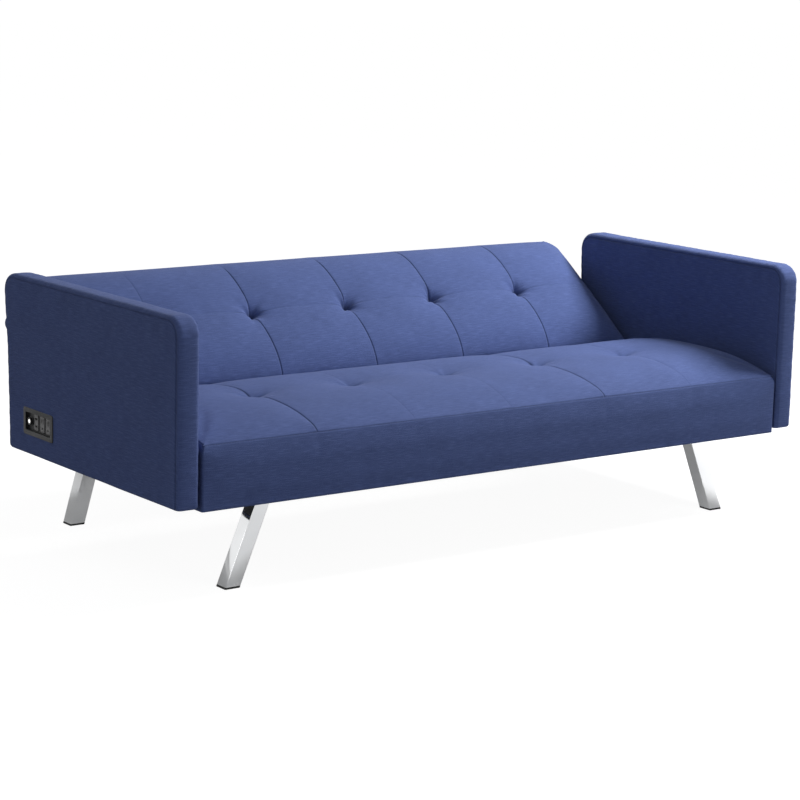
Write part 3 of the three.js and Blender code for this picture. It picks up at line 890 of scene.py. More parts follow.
def close_underside(obj: bpy.types.Object, wall: float, ceiling: float) -> None:
    """Turn the open lower rim in by the wall's thickness, run it up and close it with a ceiling.

    Args:
        obj: a shell that is open underneath, its rim on one level.
        wall: the thickness of the wall.
        ceiling: the height at which the hollow underneath ends.
    """
    mesh = bmesh.new()
    mesh.from_mesh(obj.data)
    rim = [edge for edge in mesh.edges if edge.is_boundary]
    inward = {}
    for edge in rim:
        outward = edge.link_faces[0].normal.copy()
        outward.z = 0
        for vertex in edge.verts:
            inward.setdefault(vertex.co.to_tuple(6), []).append(outward.normalized())
    turned = bmesh.ops.extrude_edge_only(mesh, edges=rim)["geom"]
    for vertex in (g for g in turned if isinstance(g, bmesh.types.BMVert)):
        first, last = inward[vertex.co.to_tuple(6)]
        vertex.co -= (first + last) * wall / (1 + first.dot(last))
    edges = [g for g in turned if isinstance(g, bmesh.types.BMEdge)]
    raised = bmesh.ops.extrude_edge_only(mesh, edges=edges)["geom"]
    for vertex in (g for g in raised if isinstance(g, bmesh.types.BMVert)):
        vertex.co.z = ceiling
    top = [g for g in raised if isinstance(g, bmesh.types.BMEdge)]
    bmesh.ops.edgeloop_fill(mesh, edges=top)
    bmesh.ops.recalc_face_normals(mesh, faces=mesh.faces)
    mesh.to_mesh(obj.data)
    mesh.free()


@dataclass(frozen=True)
class Puffing:
    """How a short cloth simulation fills a cover."""

    pressure: float = 4.0
    frames: int = 20
    cap: float = 9 * MM

    def run(self, obj: bpy.types.Object, hold: np.ndarray, room: np.ndarray) -> None:
        """Blow the cover up from inside and keep the result, within a cap on each point's move.

        Args:
            obj: the cover, not yet subdivided.
            hold: for each vertex, 1 where it is sewn down and 0 where it is free.
            room: for each vertex, the share of the cap that it may move.
        """
        group = obj.vertex_groups.new(name="hold")
        levels = np.round(hold, 1)
        for level in np.unique(levels[levels > 0]):
            group.add(np.flatnonzero(levels == level).tolist(), float(level), "REPLACE")
        cloth = obj.modifiers.new("cloth", "CLOTH")
        cloth.settings.quality = 6
        cloth.settings.mass = 0.3
        cloth.settings.use_pressure = True
        cloth.settings.uniform_pressure_force = self.pressure
        cloth.settings.effector_weights.gravity = 0
        cloth.settings.vertex_group_mass = group.name
        cloth.collision_settings.use_collision = False
        cloth.point_cache.frame_start = 1
        cloth.point_cache.frame_end = self.frames
        for number in range(1, self.frames + 1):
            bpy.context.scene.frame_set(number)
        evaluated = obj.evaluated_get(bpy.context.evaluated_depsgraph_get())
        blown = coordinates(evaluated)
        obj.modifiers.remove(cloth)
        obj.vertex_groups.remove(group)
        bpy.context.scene.frame_set(1)
        rest = coordinates(obj)
        move = blown - rest
        length = np.linalg.norm(move, axis=1)
        allowed = self.cap * room
        share = np.where(length > 1e-9, np.minimum(1.0, allowed / np.maximum(length, 1e-9)), 0.0)
        move_vertices(obj, rest + move * share[:, None])


# ---- Tufted cushions ------------------------------------------------------------------------------


@dataclass(kw_only=True)
class TuftedCushion:
    """A boxed cushion with one row of tufts, drawn flat: x across, y along its depth, z up."""

    name: str
    body: Body
    nodes: tuple[str, ...]
    half: float
    near: float
    far: float
    floor: float
    edge: float
    ceiling: float
    crown: float
    crown_power: float
    puff: float
    tufts: tuple[float, ...]
    tuft_y: float
    tuft_depth: float
    seam_depths: tuple[float, ...]
    cross_seam: float = 0.0
    step: float = 11 * MM
    wall: float = 2 * MM
    seam_width: float = 1.9 * MM
    end_power: int = 16
    end_lift: float = 0.0
    corner: float = 0.0
    near_corner: float = 0.0
    ease: float = 3.2 * MM
    ease_reach: float = 13 * MM
    rim: float = 0.6

    def build(self, materials: Materials) -> bpy.types.Object:
        """Build the cushion, fill it, sew it and dress it.

        Args:
            materials: the materials by slot.

        Returns:
            The finished cushion.
        """
        obj = self.lattice().mesh(self.name)
        move_vertices(obj, self.shape(get_vectors(obj, FLAT)))
        flat = get_vectors(obj, FLAT)
        Puffing().run(obj, self.hold(flat), self.room(flat))
        apply_modifier(obj, "SUBSURF", levels=1, render_levels=1)
        self.sew(obj)
        self.keep_inside(obj)
        close_underside(obj, self.wall, self.ceiling)
        self.set_up(obj)
        dress(obj, self.body, Slot.FABRIC, materials, self.nodes)
        return obj

    def lattice(self) -> Lattice:
        """Return the lattice, fine along the edges, seams and tufts.

        Returns:
            The lattice in flat coordinates.
        """
        near_edges = (2.5 * MM, 6 * MM, 11 * MM)
        around = (1.6 * MM, 4 * MM, 8 * MM)
        return Lattice(
            lattice_lines(-self.half, self.half, self.step, (-self.half, self.half, *self.tufts), around),
            lattice_lines(self.near, self.far, self.step, (self.near, self.far, self.tuft_y), near_edges),
            lattice_lines(self.floor, self.edge, self.step, (self.edge,), near_edges),
        )

    def across(self, y: np.ndarray) -> np.ndarray:
        """Return the depth coordinate as -1 at the near edge and 1 at the far edge."""
        return (2 * y - self.near - self.far) / (self.far - self.near)

    def crown_share(self, flat: np.ndarray) -> np.ndarray:
        """Return how much of the crown stands at each point, 0 along the near and far edges."""
        t = np.abs(self.across(flat[:, 1]))
        s = np.abs(flat[:, 0] / self.half)
        return (1 - t**self.crown_power) * (1 - (1 - self.end_lift) * s**self.end_power)

    def nearest_tuft(self, x: np.ndarray) -> np.ndarray:
        """Return the signed distance along x to the nearest tuft."""
        return x - np.array(self.tufts)[self.tuft_number(x)]

    def tuft_number(self, x: np.ndarray) -> np.ndarray:
        """Return the number of the nearest tuft, counted from the left."""
        return np.argmin(np.abs(x[:, None] - np.array(self.tufts)), axis=1)

    def seam_share(self, flat: np.ndarray) -> np.ndarray:
        """Return the strength of the nearest seam along y as a share of the strongest."""
        return (np.array(self.seam_depths) / max(self.seam_depths))[self.tuft_number(flat[:, 0])]

    def pillow(self, flat: np.ndarray) -> np.ndarray:
        """Return how far the panels between the seams stand proud, from 0 to 1.

        Args:
            flat: the flat coordinates, a row a point.

        Returns:
            The share of the puff at each point.
        """
        dx = np.clip(np.abs(self.nearest_tuft(flat[:, 0])) / (TUFT_PITCH / 2), 0, 1)
        rise = 1 - self.seam_share(flat) * (1 - dx) ** 2.6
        if self.cross_seam > 0:
            reach = (self.far - self.near) / 2
            dy = np.clip(np.abs(flat[:, 1] - self.tuft_y) / reach, 0, 1)
            valley = 1 - 0.65 * smoothstep(0.2, 0.75, dx)
            rise = rise * (1 - valley * (1 - dy) ** 3.5)
        return rise

    def dimple(self, dx: np.ndarray, dy: np.ndarray) -> np.ndarray:
        """Return the depth of a tuft's dimple at a distance from it, from 0 to 1."""
        raise NotImplementedError

    def shape(self, flat: np.ndarray) -> np.ndarray:
        """Return the cushion's points for its flat coordinates.

        Args:
            flat: the flat coordinates, a row a point.

        Returns:
            The points, a row a point.
        """
        points = flat.copy()
        lift = (flat[:, 2] - self.floor) / (self.edge - self.floor)
        crown = self.crown_share(flat)
        dx = self.nearest_tuft(flat[:, 0])
        pinch = self.dimple(dx, flat[:, 1] - self.tuft_y)
        rise = crown * (self.crown + self.puff * self.pillow(flat) - self.tuft_depth * pinch)
        points[:, 2] += rise * lift
        self.ease_edge(points, flat)
        self.round_corners(points)
        return points

    def ease_edge(self, points: np.ndarray, flat: np.ndarray) -> None:
        """Draw the seam round the top's edge in, so that the edge is round.

        Args:
            points: the points, moved in place.
            flat: the flat coordinates, a row a point.
        """
        pull = self.ease * (1 - np.clip(self.edge_distance(flat) / self.ease_reach, 0, 1)) ** 2
        sides = (self.half - np.abs(flat[:, 0]), flat[:, 1] - self.near, self.far - flat[:, 1])
        nearest = np.argmin(np.stack(sides), axis=0)
        points[:, 0] -= np.where(nearest == 0, np.sign(flat[:, 0]) * pull, 0)
        points[:, 1] += np.where(nearest == 1, pull, 0) - np.where(nearest == 2, pull, 0)
        points[:, 2] -= 0.8 * pull

    def round_corners(self, points: np.ndarray) -> None:
        """Draw the ends in towards the near and far edges, so that the corners are round in plan.

        Args:
            points: the points, moved in place.
        """
        y = points[:, 1].copy()
        share = smoothstep(0.72 * self.half, self.half, np.abs(points[:, 0]))
        for radius, gap in ((self.corner, self.far - y), (self.near_corner, y - self.near)):
            past = np.clip(radius - gap, 0, radius)
            drawn = radius - np.sqrt(radius**2 - past**2)
            points[:, 0] -= np.sign(points[:, 0]) * drawn * share

    def hold(self, flat: np.ndarray) -> np.ndarray:
        """Return how firmly each point is held: tufts, seams, edges and the walls' lower part.

        Args:
            flat: the flat coordinates, a row a point.

        Returns:
            A value from 0, free, to 1, sewn down, for each point.
        """
        dx = np.abs(self.nearest_tuft(flat[:, 0]))
        dy = np.abs(flat[:, 1] - self.tuft_y)
        top = flat[:, 2] >= self.edge - 1e-7
        held = np.where(np.hypot(dx, dy) < 12 * MM, 1.0, 0.0)
        seam = np.where(dx < 2 * MM, 0.7, 0.0) * self.seam_share(flat)
        if self.cross_seam > 0:
            seam = np.maximum(seam, np.where(dy < 2 * MM, 0.7, 0.0))
        held = np.where(top, np.maximum(held, seam), 0.0)
        low = np.where(flat[:, 2] < self.floor + 12 * MM, 1.0, 0.0)
        ends = np.where(np.abs(flat[:, 0]) > self.half - 1e-6, 1.0, 0.0)
        return np.maximum.reduce([held, low, ends, np.where(self.edge_distance(flat) < MM, 0.9, 0.0)])

    def room(self, flat: np.ndarray) -> np.ndarray:
        """Return the share of the cap that each point may move: little on the walls and ends."""
        top = flat[:, 2] >= self.edge - 1e-7
        return np.where(top, 1.0, 0.45)

    def edge_distance(self, flat: np.ndarray) -> np.ndarray:
        """Return the distance over the surface to the seam round the top's edge."""
        sides = (self.half - np.abs(flat[:, 0]), flat[:, 1] - self.near, self.far - flat[:, 1])
        return np.minimum.reduce(sides) + self.edge - flat[:, 2]

    def sew(self, obj: bpy.types.Object) -> None:
        """Sink the seams and tufts into the filled cover and store the shade painted into them.

        Args:
            obj: the cushion, filled and subdivided.
        """
        flat = get_vectors(obj, FLAT)
        top = flat[:, 2] >= self.edge - 0.4 * MM
        dx = self.nearest_tuft(flat[:, 0])
        dy = flat[:, 1] - self.tuft_y
        number = self.tuft_number(flat[:, 0])
        down, over = self.seam_fade(flat, dx, dy)
        groove = down * np.array(self.seam_depths)[number] * bell(dx, self.seam_width)
        groove = np.maximum(groove, over * self.cross_seam * bell(dy, self.seam_width))
        groove = np.where(top, groove, 0.0)
        groove = np.maximum(groove, self.rim * bell(self.edge_distance(flat), self.seam_width))
        radius = np.hypot(dx, dy)
        folds = self.folds(flat, dx, dy, radius, number)
        sink = 2.6 * MM * groove + np.where(top, folds, 0.0)
        move_vertices(obj, coordinates(obj) - vertex_normals(obj) * sink[:, None])
        # Painted shade: the grooves and the tuft slits are stored as how much darker the cloth's colour is
        # painted.
        knot = np.where(top, self.knot(dx, dy), 0.0)
        put_attribute(obj, PAINTED_SHADE, "FLOAT", np.clip(np.maximum(groove, knot), 0, 1))

    def seam_fade(self, flat: np.ndarray, dx: np.ndarray, dy: np.ndarray) -> tuple[Any, Any]:
        """Return the strength of the seams along y and of the cross seam at each point."""
        return 1.0, 1.0

    def knot(self, dx: np.ndarray, dy: np.ndarray) -> np.ndarray:
        """Return how deep in shade the cloth lies about a tuft, from 0 to 1."""
        return bell(dx, 10 * MM) * bell(dy, 10 * MM)

    def folds(
        self, flat: np.ndarray, dx: np.ndarray, dy: np.ndarray, radius: np.ndarray, number: np.ndarray
    ) -> np.ndarray:
        """Return the depth of the small folds that run out from each tuft.

        Args:
            flat: the flat coordinates, a row a point.
            dx: the distance to the nearest tuft along x.
            dy: the distance to it along y.
            radius: the distance to it.
            number: the tuft's number.

        Returns:
            The depth of the folds at each point, in metres.
        """
        angle = np.arctan2(dy, dx)
        turn = 1.7 * number + (0.4 if self.cross_seam > 0 else 0.0)
        wave = 0.6 * np.cos(4 * angle + turn) + 0.4 * np.cos(7 * angle - 2.3 * turn)
        reach = bell(radius, 42 * MM) * smoothstep(4 * MM, 16 * MM, radius)
        return self.tuft_depth * 0.09 * wave * reach

    def keep_inside(self, obj: bpy.types.Object) -> None:
        """Keep the ends from bulging towards the hinges and the arms."""
        points = coordinates(obj)
        points[:, 0] = np.clip(points[:, 0], -self.half, self.half)
        move_vertices(obj, points)

    def set_up(self, obj: bpy.types.Object) -> None:
        """Leave the cushion where it is drawn."""


@dataclass(kw_only=True)
class SeatCushion(TuftedCushion):
    """The seat: a low crown, shallow dimples drawn out along x and faint seams to the front."""

    name: str = "seat_upholstery"
    body: Body = Body.BASE
    nodes: tuple[str, ...] = ("seat_cover", "seat_foam")
    crown: float = 40 * MM
    crown_power: float = 3.0
    puff: float = 3 * MM
    tufts: tuple[float, ...] = (-0.567, -0.289, 0.0, 0.292, 0.583)
    tuft_depth: float = 20 * MM
    seam_depths: tuple[float, ...] = (0.6, 0.12, 0.12, 0.55, 0.15)
    wall: float = HEM
    end_power: int = 60
    end_lift: float = 0.55
    near_corner: float = 3 * MM
    ease: float = 6 * MM
    ease_reach: float = 24 * MM
    rim: float = 0.55

    def dimple(self, dx: np.ndarray, dy: np.ndarray) -> np.ndarray:
        """Return a shallow bowl with a sharp crease along x on its front side."""
        bowl = bell(dx, 40 * MM) * bell(dy, 34 * MM)
        crease = bell(dx, 24 * MM) / (1 + (dy / (6 * MM)) ** 2)
        return 0.62 * bowl + 0.38 * crease

    def knot(self, dx: np.ndarray, dy: np.ndarray) -> np.ndarray:
        """Return the shade of a thin slit along x."""
        return bell(dx, 20 * MM) * bell(dy, 5 * MM)


@dataclass(kw_only=True)
class BackCushion(TuftedCushion):
    """The back, drawn flat about its pivot: deep tufts, seams both ways and round upper corners."""

    pivot: Vector
    name: str = "back_upholstery"
    body: Body = Body.BACK
    nodes: tuple[str, ...] = ("back_cover", "back_foam")
    half: float = 868 * MM
    near: float = 8 * MM
    far: float = 433 * MM
    floor: float = -110 * MM
    edge: float = 15 * MM
    ceiling: float = -107.55 * MM
    crown: float = 44 * MM
    crown_power: float = 4.0
    puff: float = 5 * MM
    tufts: tuple[float, ...] = (-0.588, -0.288, 0.006, 0.287, 0.581)
    tuft_y: float = 211 * MM
    tuft_depth: float = 35 * MM
    seam_depths: tuple[float, ...] = (0.2, 0.65, 0.65, 0.65, 0.65)
    cross_seam: float = 0.5
    seam_width: float = 1.5 * MM
    corner: float = 52 * MM
    top_fades: tuple[float, ...] = (80 * MM, 80 * MM, 60 * MM, 17 * MM, 17 * MM)

    def dimple(self, dx: np.ndarray, dy: np.ndarray) -> np.ndarray:
        """Return a deep pit with gathered flanks along the seams."""
        radius = np.hypot(dx, dy)
        return 1 / (1 + (radius / (16 * MM)) ** 2)

    def seam_fade(self, flat: np.ndarray, dx: np.ndarray, dy: np.ndarray) -> tuple[Any, Any]:
        """Return seams that fade at the tufts and the far edge, and a cross seam that fades between."""
        fade = np.array(self.top_fades)[self.tuft_number(flat[:, 0])]
        top = np.clip((self.far - flat[:, 1]) / fade, 0, 1) ** 2
        down = (0.4 + 0.6 * smoothstep(0, 30 * MM, np.abs(dy))) * top
        over = 0.12 + 0.88 * bell(dx, 60 * MM)
        return down, over

    def room(self, flat: np.ndarray) -> np.ndarray:
        """Return the share of the cap that each point may move: none beside the hinges."""
        top = flat[:, 2] >= self.edge - 1e-7
        share = np.where(top, 1.0, 0.35)
        return share * smoothstep(self.near + 30 * MM, self.near + 110 * MM, flat[:, 1])

    def set_up(self, obj: bpy.types.Object) -> None:
        """Turn the back up about its pivot."""
        obj.data.transform(Matrix.Translation(self.pivot) @ Matrix.Rotation(RECLINE, 4, "X"))


# ---- Arms -----------------------------------------------------------------------------------------


@dataclass
class BoxArm:
    """A padded box arm: two flat faces and a band over its front, top and rear, sewn at the edges."""

    side: Side
    low: Vector
    high: Vector
    crest: float = 44 * MM
    tail: float = 46 * MM
    edge: float = 13 * MM
    foot: float = 8 * MM
    seam_at: float = 9.5 * MM
    bulge: float = 2.2 * MM
    band_bulge: float = 2.2 * MM
    tail_lean: float = 15 * MM
    tail_puff: float = 6 * MM
    step: float = 13 * MM

    @property
    def name(self) -> str:
        """The piece's name."""
        return f"arm_{self.side.label}_upholstery"

    def build(self, materials: Materials, pocket: tuple | None) -> bpy.types.Object:
        """Build the arm, cut the power panel's pocket if it has one, and dress it.

        Args:
            materials: the materials by slot.
            pocket: the pocket's lowest and highest corner, or None.

        Returns:
            The finished arm.
        """
        obj = self.lattice().mesh(self.name)
        move_vertices(obj, self.shape(get_vectors(obj, FLAT)))
        apply_modifier(obj, "SUBSURF", levels=1, render_levels=1)
        self.pad(obj, pocket)
        self.sew(obj)
        close_underside(obj, HEM - self.foot, self.low.z + 2.15 * MM)
        if pocket:
            carve(obj, new_block("pocket_tool", *pocket))
        nodes = (f"arm_{self.side.label}_cover", f"arm_{self.side.label}_padding")
        dress(obj, Body.BASE, Slot.FABRIC, materials, nodes)
        return obj

    def lattice(self) -> Lattice:
        """Return the lattice: crowded lines round both corners and along the edges.

        Returns:
            The lattice in flat coordinates.
        """
        turns = np.linspace(0, math.pi / 2, 13)
        front = self.low.y + self.crest * (1 - np.cos(turns))
        rear = self.high.y - self.tail * (1 - np.cos(turns[::-1]))
        middle = lattice_lines(front[-1], rear[0], self.step)
        ys = np.concatenate([front, middle[1:-1], rear])
        band = 60 * MM
        foot_lines = (1.5 * MM, 3.5 * MM, 6 * MM, 9 * MM)
        low_part = lattice_lines(self.low.z, self.high.z - band, self.step, (self.low.z,), foot_lines)
        high_part = lattice_lines(self.high.z - band, self.high.z, 3 * MM)
        zs = np.concatenate([low_part, high_part[1:]])
        edges = (self.low.x, self.high.x)
        xs = lattice_lines(self.low.x, self.high.x, 8 * MM, edges, (3 * MM, 6 * MM, 9.5 * MM, 13 * MM))
        return Lattice(xs, ys, zs)

    def top_at(self, y: np.ndarray) -> np.ndarray:
        """Return the height of the arm's outline at a depth.

        Args:
            y: the depths.

        Returns:
            The height of the outline at each depth.
        """
        front = np.clip(self.low.y + self.crest - y, 0, self.crest)
        rear = np.clip(y - self.high.y + self.tail, 0, self.tail)
        drop_front = self.crest - np.sqrt(self.crest**2 - front**2)
        drop_rear = self.tail - np.sqrt(self.tail**2 - rear**2)
        return self.high.z - drop_front - drop_rear

    def outline(self, points: np.ndarray) -> tuple[np.ndarray, np.ndarray]:
        """Measure points against the arm's outline.

        Args:
            points: the points to measure.

        Returns:
            How far each lies inside the outline, and the outline's outward direction there, in (y, z).
        """
        y, z = points[:, 1], points[:, 2]
        inset = self.high.z - z
        outward = np.tile([0.0, 1.0], (len(points), 1))
        for distance, sign in ((y - self.low.y, -1.0), (self.high.y - y, 1.0)):
            nearer = distance < inset
            inset = np.where(nearer, distance, inset)
            outward[nearer] = (sign, 0.0)
        corners = ((self.low.y + self.crest, self.crest, -1), (self.high.y - self.tail, self.tail, 1))
        for centre_y, radius, sign in corners:
            centre_z = self.high.z - radius
            inside = ((y - centre_y) * sign > 0) & (z > centre_z)
            dy, dz = y - centre_y, z - centre_z
            length = np.maximum(np.hypot(dy, dz), 1e-9)
            inset = np.where(inside, radius - length, inset)
            outward[inside] = np.stack([dy / length, dz / length], axis=1)[inside]
        return inset, outward

    def shape(self, flat: np.ndarray) -> np.ndarray:
        """Return the arm's points for its flat coordinates: round corners, then round edges.

        Args:
            flat: the flat coordinates, a row a point.

        Returns:
            The points, a row a point.
        """
        points = flat.copy()
        share = (flat[:, 2] - self.low.z) / (self.high.z - self.low.z)
        points[:, 2] = self.low.z + share * (self.top_at(flat[:, 1]) - self.low.z)
        inset, outward = self.outline(points)
        face = np.minimum(flat[:, 0] - self.low.x, self.high.x - flat[:, 0])
        towards = np.where(flat[:, 0] < (self.low.x + self.high.x) / 2, 1.0, -1.0)
        on_face = face < 1e-6
        spare = np.where(on_face, np.clip(inset, 0, None), face) / self.edge
        angle = math.pi / 4 * np.where(on_face, 1 - spare, 1 + spare)
        near = spare < 1
        new_inset = self.edge * (1 - np.sin(angle))
        new_face = self.edge * (1 - np.cos(angle))
        shift = np.where(near, new_inset - np.clip(inset, 0, None), 0.0)
        points[:, 1:] -= outward * shift[:, None]
        points[:, 0] += np.where(near, (new_face - face) * towards, 0.0)
        points[:, 2] = np.maximum(points[:, 2], self.low.z)
        self.round_foot(points)
        return points

    def round_foot(self, points: np.ndarray) -> None:
        """Draw the lower rim in on all four sides, so that the arm's foot is round.

        Args:
            points: the points, moved in place.
        """
        under = np.clip(self.low.z + self.foot - points[:, 2], 0, self.foot)
        drawn = self.foot - np.sqrt(self.foot**2 - under**2)
        for axis in range(2):
            middle = (self.low[axis] + self.high[axis]) / 2
            reach = (self.high[axis] - self.low[axis]) / 2
            share = np.clip(1 - (reach - np.abs(points[:, axis] - middle)) / (29 * MM), 0, 1)
            points[:, axis] -= np.sign(points[:, axis] - middle) * drawn * share

    def pad(self, obj: bpy.types.Object, pocket: tuple | None) -> None:
        """Fill the outer face a little and let the cloth wander, but stay flat round the pocket.

        Args:
            obj: the arm, subdivided.
            pocket: the power panel's pocket, or None.
        """
        points = coordinates(obj)
        put_attribute(obj, SHAPED, "FLOAT_VECTOR", points)
        normals = vertex_normals(obj)
        inset, _ = self.outline(points)
        outer = np.maximum(normals[:, 0] * self.side.value, 0.0)
        rise = (points[:, 2] - self.low.z) / (self.high.z - self.low.z)
        fill = smoothstep(0, 0.12, inset) * smoothstep(0, 0.3, rise) * outer
        calm = np.ones(len(points))
        if pocket:
            low, high = pocket
            gap_y = np.maximum(np.maximum(low.y - points[:, 1], points[:, 1] - high.y), 0)
            gap_z = np.maximum(np.maximum(low.z - points[:, 2], points[:, 2] - high.z), 0)
            calm = smoothstep(12 * MM, 70 * MM, np.hypot(gap_y, gap_z))
        inner = np.maximum(-normals[:, 0] * self.side.value, 0.0)
        wander = np.array([noise.noise(Vector(p) * 9.0) for p in points]) * 0.7 * MM
        wander = np.where(inner > 0.3, -np.abs(wander), wander)
        across = (2 * points[:, 0] - self.low.x - self.high.x) / (self.high.x - self.low.x)
        clear = smoothstep(0, 40 * MM, points[:, 2] - self.low.z)
        on_band = (1 - across**2) * np.hypot(normals[:, 1], normals[:, 2]) * clear
        tail = np.hypot(points[:, 1] - self.high.y, points[:, 2] - self.high.z)
        corner = self.tail_puff * bell(tail, 140 * MM) * outer
        move = (self.bulge * fill + wander) * calm + self.band_bulge * on_band + corner
        points += normals * move[:, None]
        points[:, 1] += self.tail_lean * rise * smoothstep(-120 * MM, 0, points[:, 1] - self.high.y)
        move_vertices(obj, points)

    def sew(self, obj: bpy.types.Object) -> None:
        """Sink the seam that joins each face to the band, pucker the band beside it and paint shade along
        the seam.

        Args:
            obj: the arm, padded.
        """
        points = coordinates(obj)
        normals = vertex_normals(obj)
        inset, _ = self.outline(get_vectors(obj, SHAPED))
        flank = np.abs(normals[:, 0])
        beside = inset - self.seam_at
        groove = bell(beside, 1.7 * MM) * smoothstep(0.3, 0.7, flank)
        run = points[:, 1] + points[:, 2]
        pucker = np.sin(run * 2 * math.pi / (37 * MM)) * np.sin(run * 2 * math.pi / (83 * MM))
        swell = bell(beside + 6 * MM, 7 * MM) * (0.4 + 0.3 * pucker)
        low = smoothstep(0, 4 * MM, points[:, 2] - self.low.z)
        move = (1.5 * MM * swell - 2.2 * MM * groove) * low
        move_vertices(obj, points + normals * move[:, None])
        # Painted shade along the seam, at half the groove's strength.
        put_attribute(obj, PAINTED_SHADE, "FLOAT", 0.5 * np.clip(groove, 0, 1))


# ---- Stitching ------------------------------------------------------------------------------------


@dataclass
class StitchRow:
    """A row of short raised stitches along a line on an upholstered piece."""

    name: str
    body: Body
    length: float = 4.6 * MM
    width: float = 1.5 * MM
    pitch: float = 7.0 * MM

    def build(
        self,
        target: bpy.types.Object,
        path: Callable[[float], Vector],
        span: float,
        towards: Vector,
        materials: Materials,
    ) -> bpy.types.Object:
        """Lay the stitches on the target's surface.

        Args:
            target: the piece that they are sewn into.
            path: gives a point just off the surface for a distance along the row.
            span: the row's length.
            towards: the direction from the path's points to the surface.
            materials: the materials by slot.

        Returns:
            The row as one piece.
        """
        tree = BVHTree.FromObject(target, bpy.context.evaluated_depsgraph_get())
        stitch = self.one_stitch()
        mesh = bmesh.new()
        for number in range(int(span / self.pitch)):
            at = number * self.pitch
            start, end = path(at), path(at + self.pitch / 4)
            hit, normal, _, _ = tree.ray_cast(start, towards)
            if hit is None:
                continue
            along = (end - start).normalized()
            side = normal.cross(along).normalized()
            turn = Matrix((along, side, side.cross(along) * -1)).transposed().to_4x4()
            copy = stitch.copy()
            copy.transform(Matrix.Translation(hit + normal * 0.3 * MM) @ turn)
            mesh.from_mesh(copy)
            bpy.data.meshes.remove(copy)
        data = bpy.data.meshes.new(self.name)
        bmesh.ops.recalc_face_normals(mesh, faces=mesh.faces)
        mesh.to_mesh(data)
        mesh.free()
        bpy.data.meshes.remove(stitch)
        data.polygons.foreach_set("use_smooth", np.ones(len(data.polygons), bool))
        data.uv_layers.new(name=UV_NAME)
        return dress(add_object(self.name, data), self.body, Slot.FABRIC, materials)

    def one_stitch(self) -> bpy.types.Mesh:
        """Model one stitch along X and return its mesh.

        Returns:
            The mesh, lying about the origin.
        """
        deselect_all()
        bpy.ops.mesh.primitive_ico_sphere_add(subdivisions=1, radius=0.5)
        obj = bpy.context.object
        obj.scale = (self.length, self.width, self.width * 0.8)
        bpy.ops.object.transform_apply(scale=True)
        mesh = obj.data
        bpy.data.objects.remove(obj)
        return mesh


# ---- Legs -----------------------------------------------------------------------------------------


@dataclass(frozen=True)
class LegPost:
    """Where a leg stands and how it leans."""

    end: str
    x: float
    y: float
    top: float
    lean_x: float
    lean_y: float


@dataclass
class SquareLeg:
    """A splayed square tube in chrome, its welded plate with four screws, and its foot cap."""

    post: LegPost
    side: Side
    size: float = 40 * MM
    foot: float = 4.5 * MM
    plate: float = 3 * MM
    plate_wide: float = 90 * MM
    edge: float = 2.2 * MM

    def centre(self, height: float) -> Vector:
        """Return the tube's centre at a height."""
        x = self.post.x - self.post.lean_x * height
        return Vector((x * self.side.value, self.post.y - self.post.lean_y * height, height))

    def build(self, materials: Materials) -> None:
        """Build the leg and its foot cap, and dress them.

        Args:
            materials: the materials by slot.
        """
        label = f"{self.post.end}_{self.side.label}"
        leg = join_pieces(self.tube(f"chrome_leg_{label}"), self.top_plate())
        shade(leg)
        dress(leg, Body.BASE, Slot.CHROME, materials, (f"leg_{label}",))
        dress(self.cap(f"foot_cap_{label}"), Body.BASE, Slot.RUBBER, materials, (f"foot_{label}",))

    def tube(self, name: str) -> bpy.types.Object:
        """Model the leaning tube with rounded corners.

        Args:
            name: the object's name.

        Returns:
            The tube.
        """
        half = self.size / 2
        base = self.centre(self.foot)
        top = self.centre(self.post.top - self.plate)
        low = (base.x - half, base.y - half, base.z)
        high = (base.x + half, base.y + half, base.z + MM)
        obj = new_block(name, low, high)
        select_in_edit(obj, "VERT", lambda vertex: vertex.co.z > base.z + MM / 2)
        lift = top - base - Vector((0, 0, MM))
        bpy.ops.transform.translate(value=tuple(lift))
        leave_edit()
        bevel_edges(obj, self.edge, 4, along(Z, 10 * MM))
        bevel_edges(obj, 0.5 * MM, 2, lambda e: max(v.co.z for v in e.verts) < base.z + 0.1 * MM)
        return obj

    def top_plate(self) -> bpy.types.Object:
        """Model the plate and the heads of its four screws.

        Returns:
            The plate and the screw heads as one object.
        """
        middle = self.centre(self.post.top)
        reach = self.plate_wide / 2
        low = (middle.x - reach, middle.y - self.size / 2, self.post.top - self.plate)
        high = (middle.x + reach, middle.y + self.size / 2, self.post.top)
        plate = new_block("leg_plate", low, high)
        bevel_edges(plate, 5 * MM, 4, along(Z))
        soften(plate, 0.4 * MM)
        screws = [
            self.screw(Vector((middle.x + sx * (reach - 10 * MM), middle.y + sy * 12 * MM, low[2])))
            for sx in (-1, 1)
            for sy in (-1, 1)
        ]
        return join_pieces(plate, *screws)

    def screw(self, under: Vector) -> bpy.types.Object:
        """Model a hexagon-socket screw head under the plate.

        Args:
            under: the middle of the head's seat on the plate.

        Returns:
            The screw head.
        """
        head = new_bar("screw", 4 * MM, under - Vector((0, 0, 2.2 * MM)), under, 24)
        inset_faces(head, facing(Z), (1.6 * MM, 0), (0.1 * MM, -1.4 * MM))
        soften(head, 0.3 * MM)
        return head

    def cap(self, name: str) -> bpy.types.Object:
        """Model the foot cap with a rounded rim and a hollowed sole.

        Args:
            name: the object's name.

        Returns:
            The cap.
        """
        half = self.size / 2 + 0.1 * MM
        base = self.centre(0)
        low = (base.x - half, base.y - half, 0.0)
        obj = new_block(name, low, (base.x + half, base.y + half, self.foot))
        select_in_edit(obj, "VERT", lambda vertex: vertex.co.z > self.foot / 2)
        lean = self.centre(self.foot) - base
        bpy.ops.transform.translate(value=(lean.x, lean.y, 0))
        leave_edit()
        bevel_edges(obj, self.edge, 6, along(Z))
        inset_faces(obj, facing(Z), (1.3 * MM, 0), (0.3 * MM, -0.8 * MM))
        return finished(obj, 0.25 * MM, degrees=50.0)


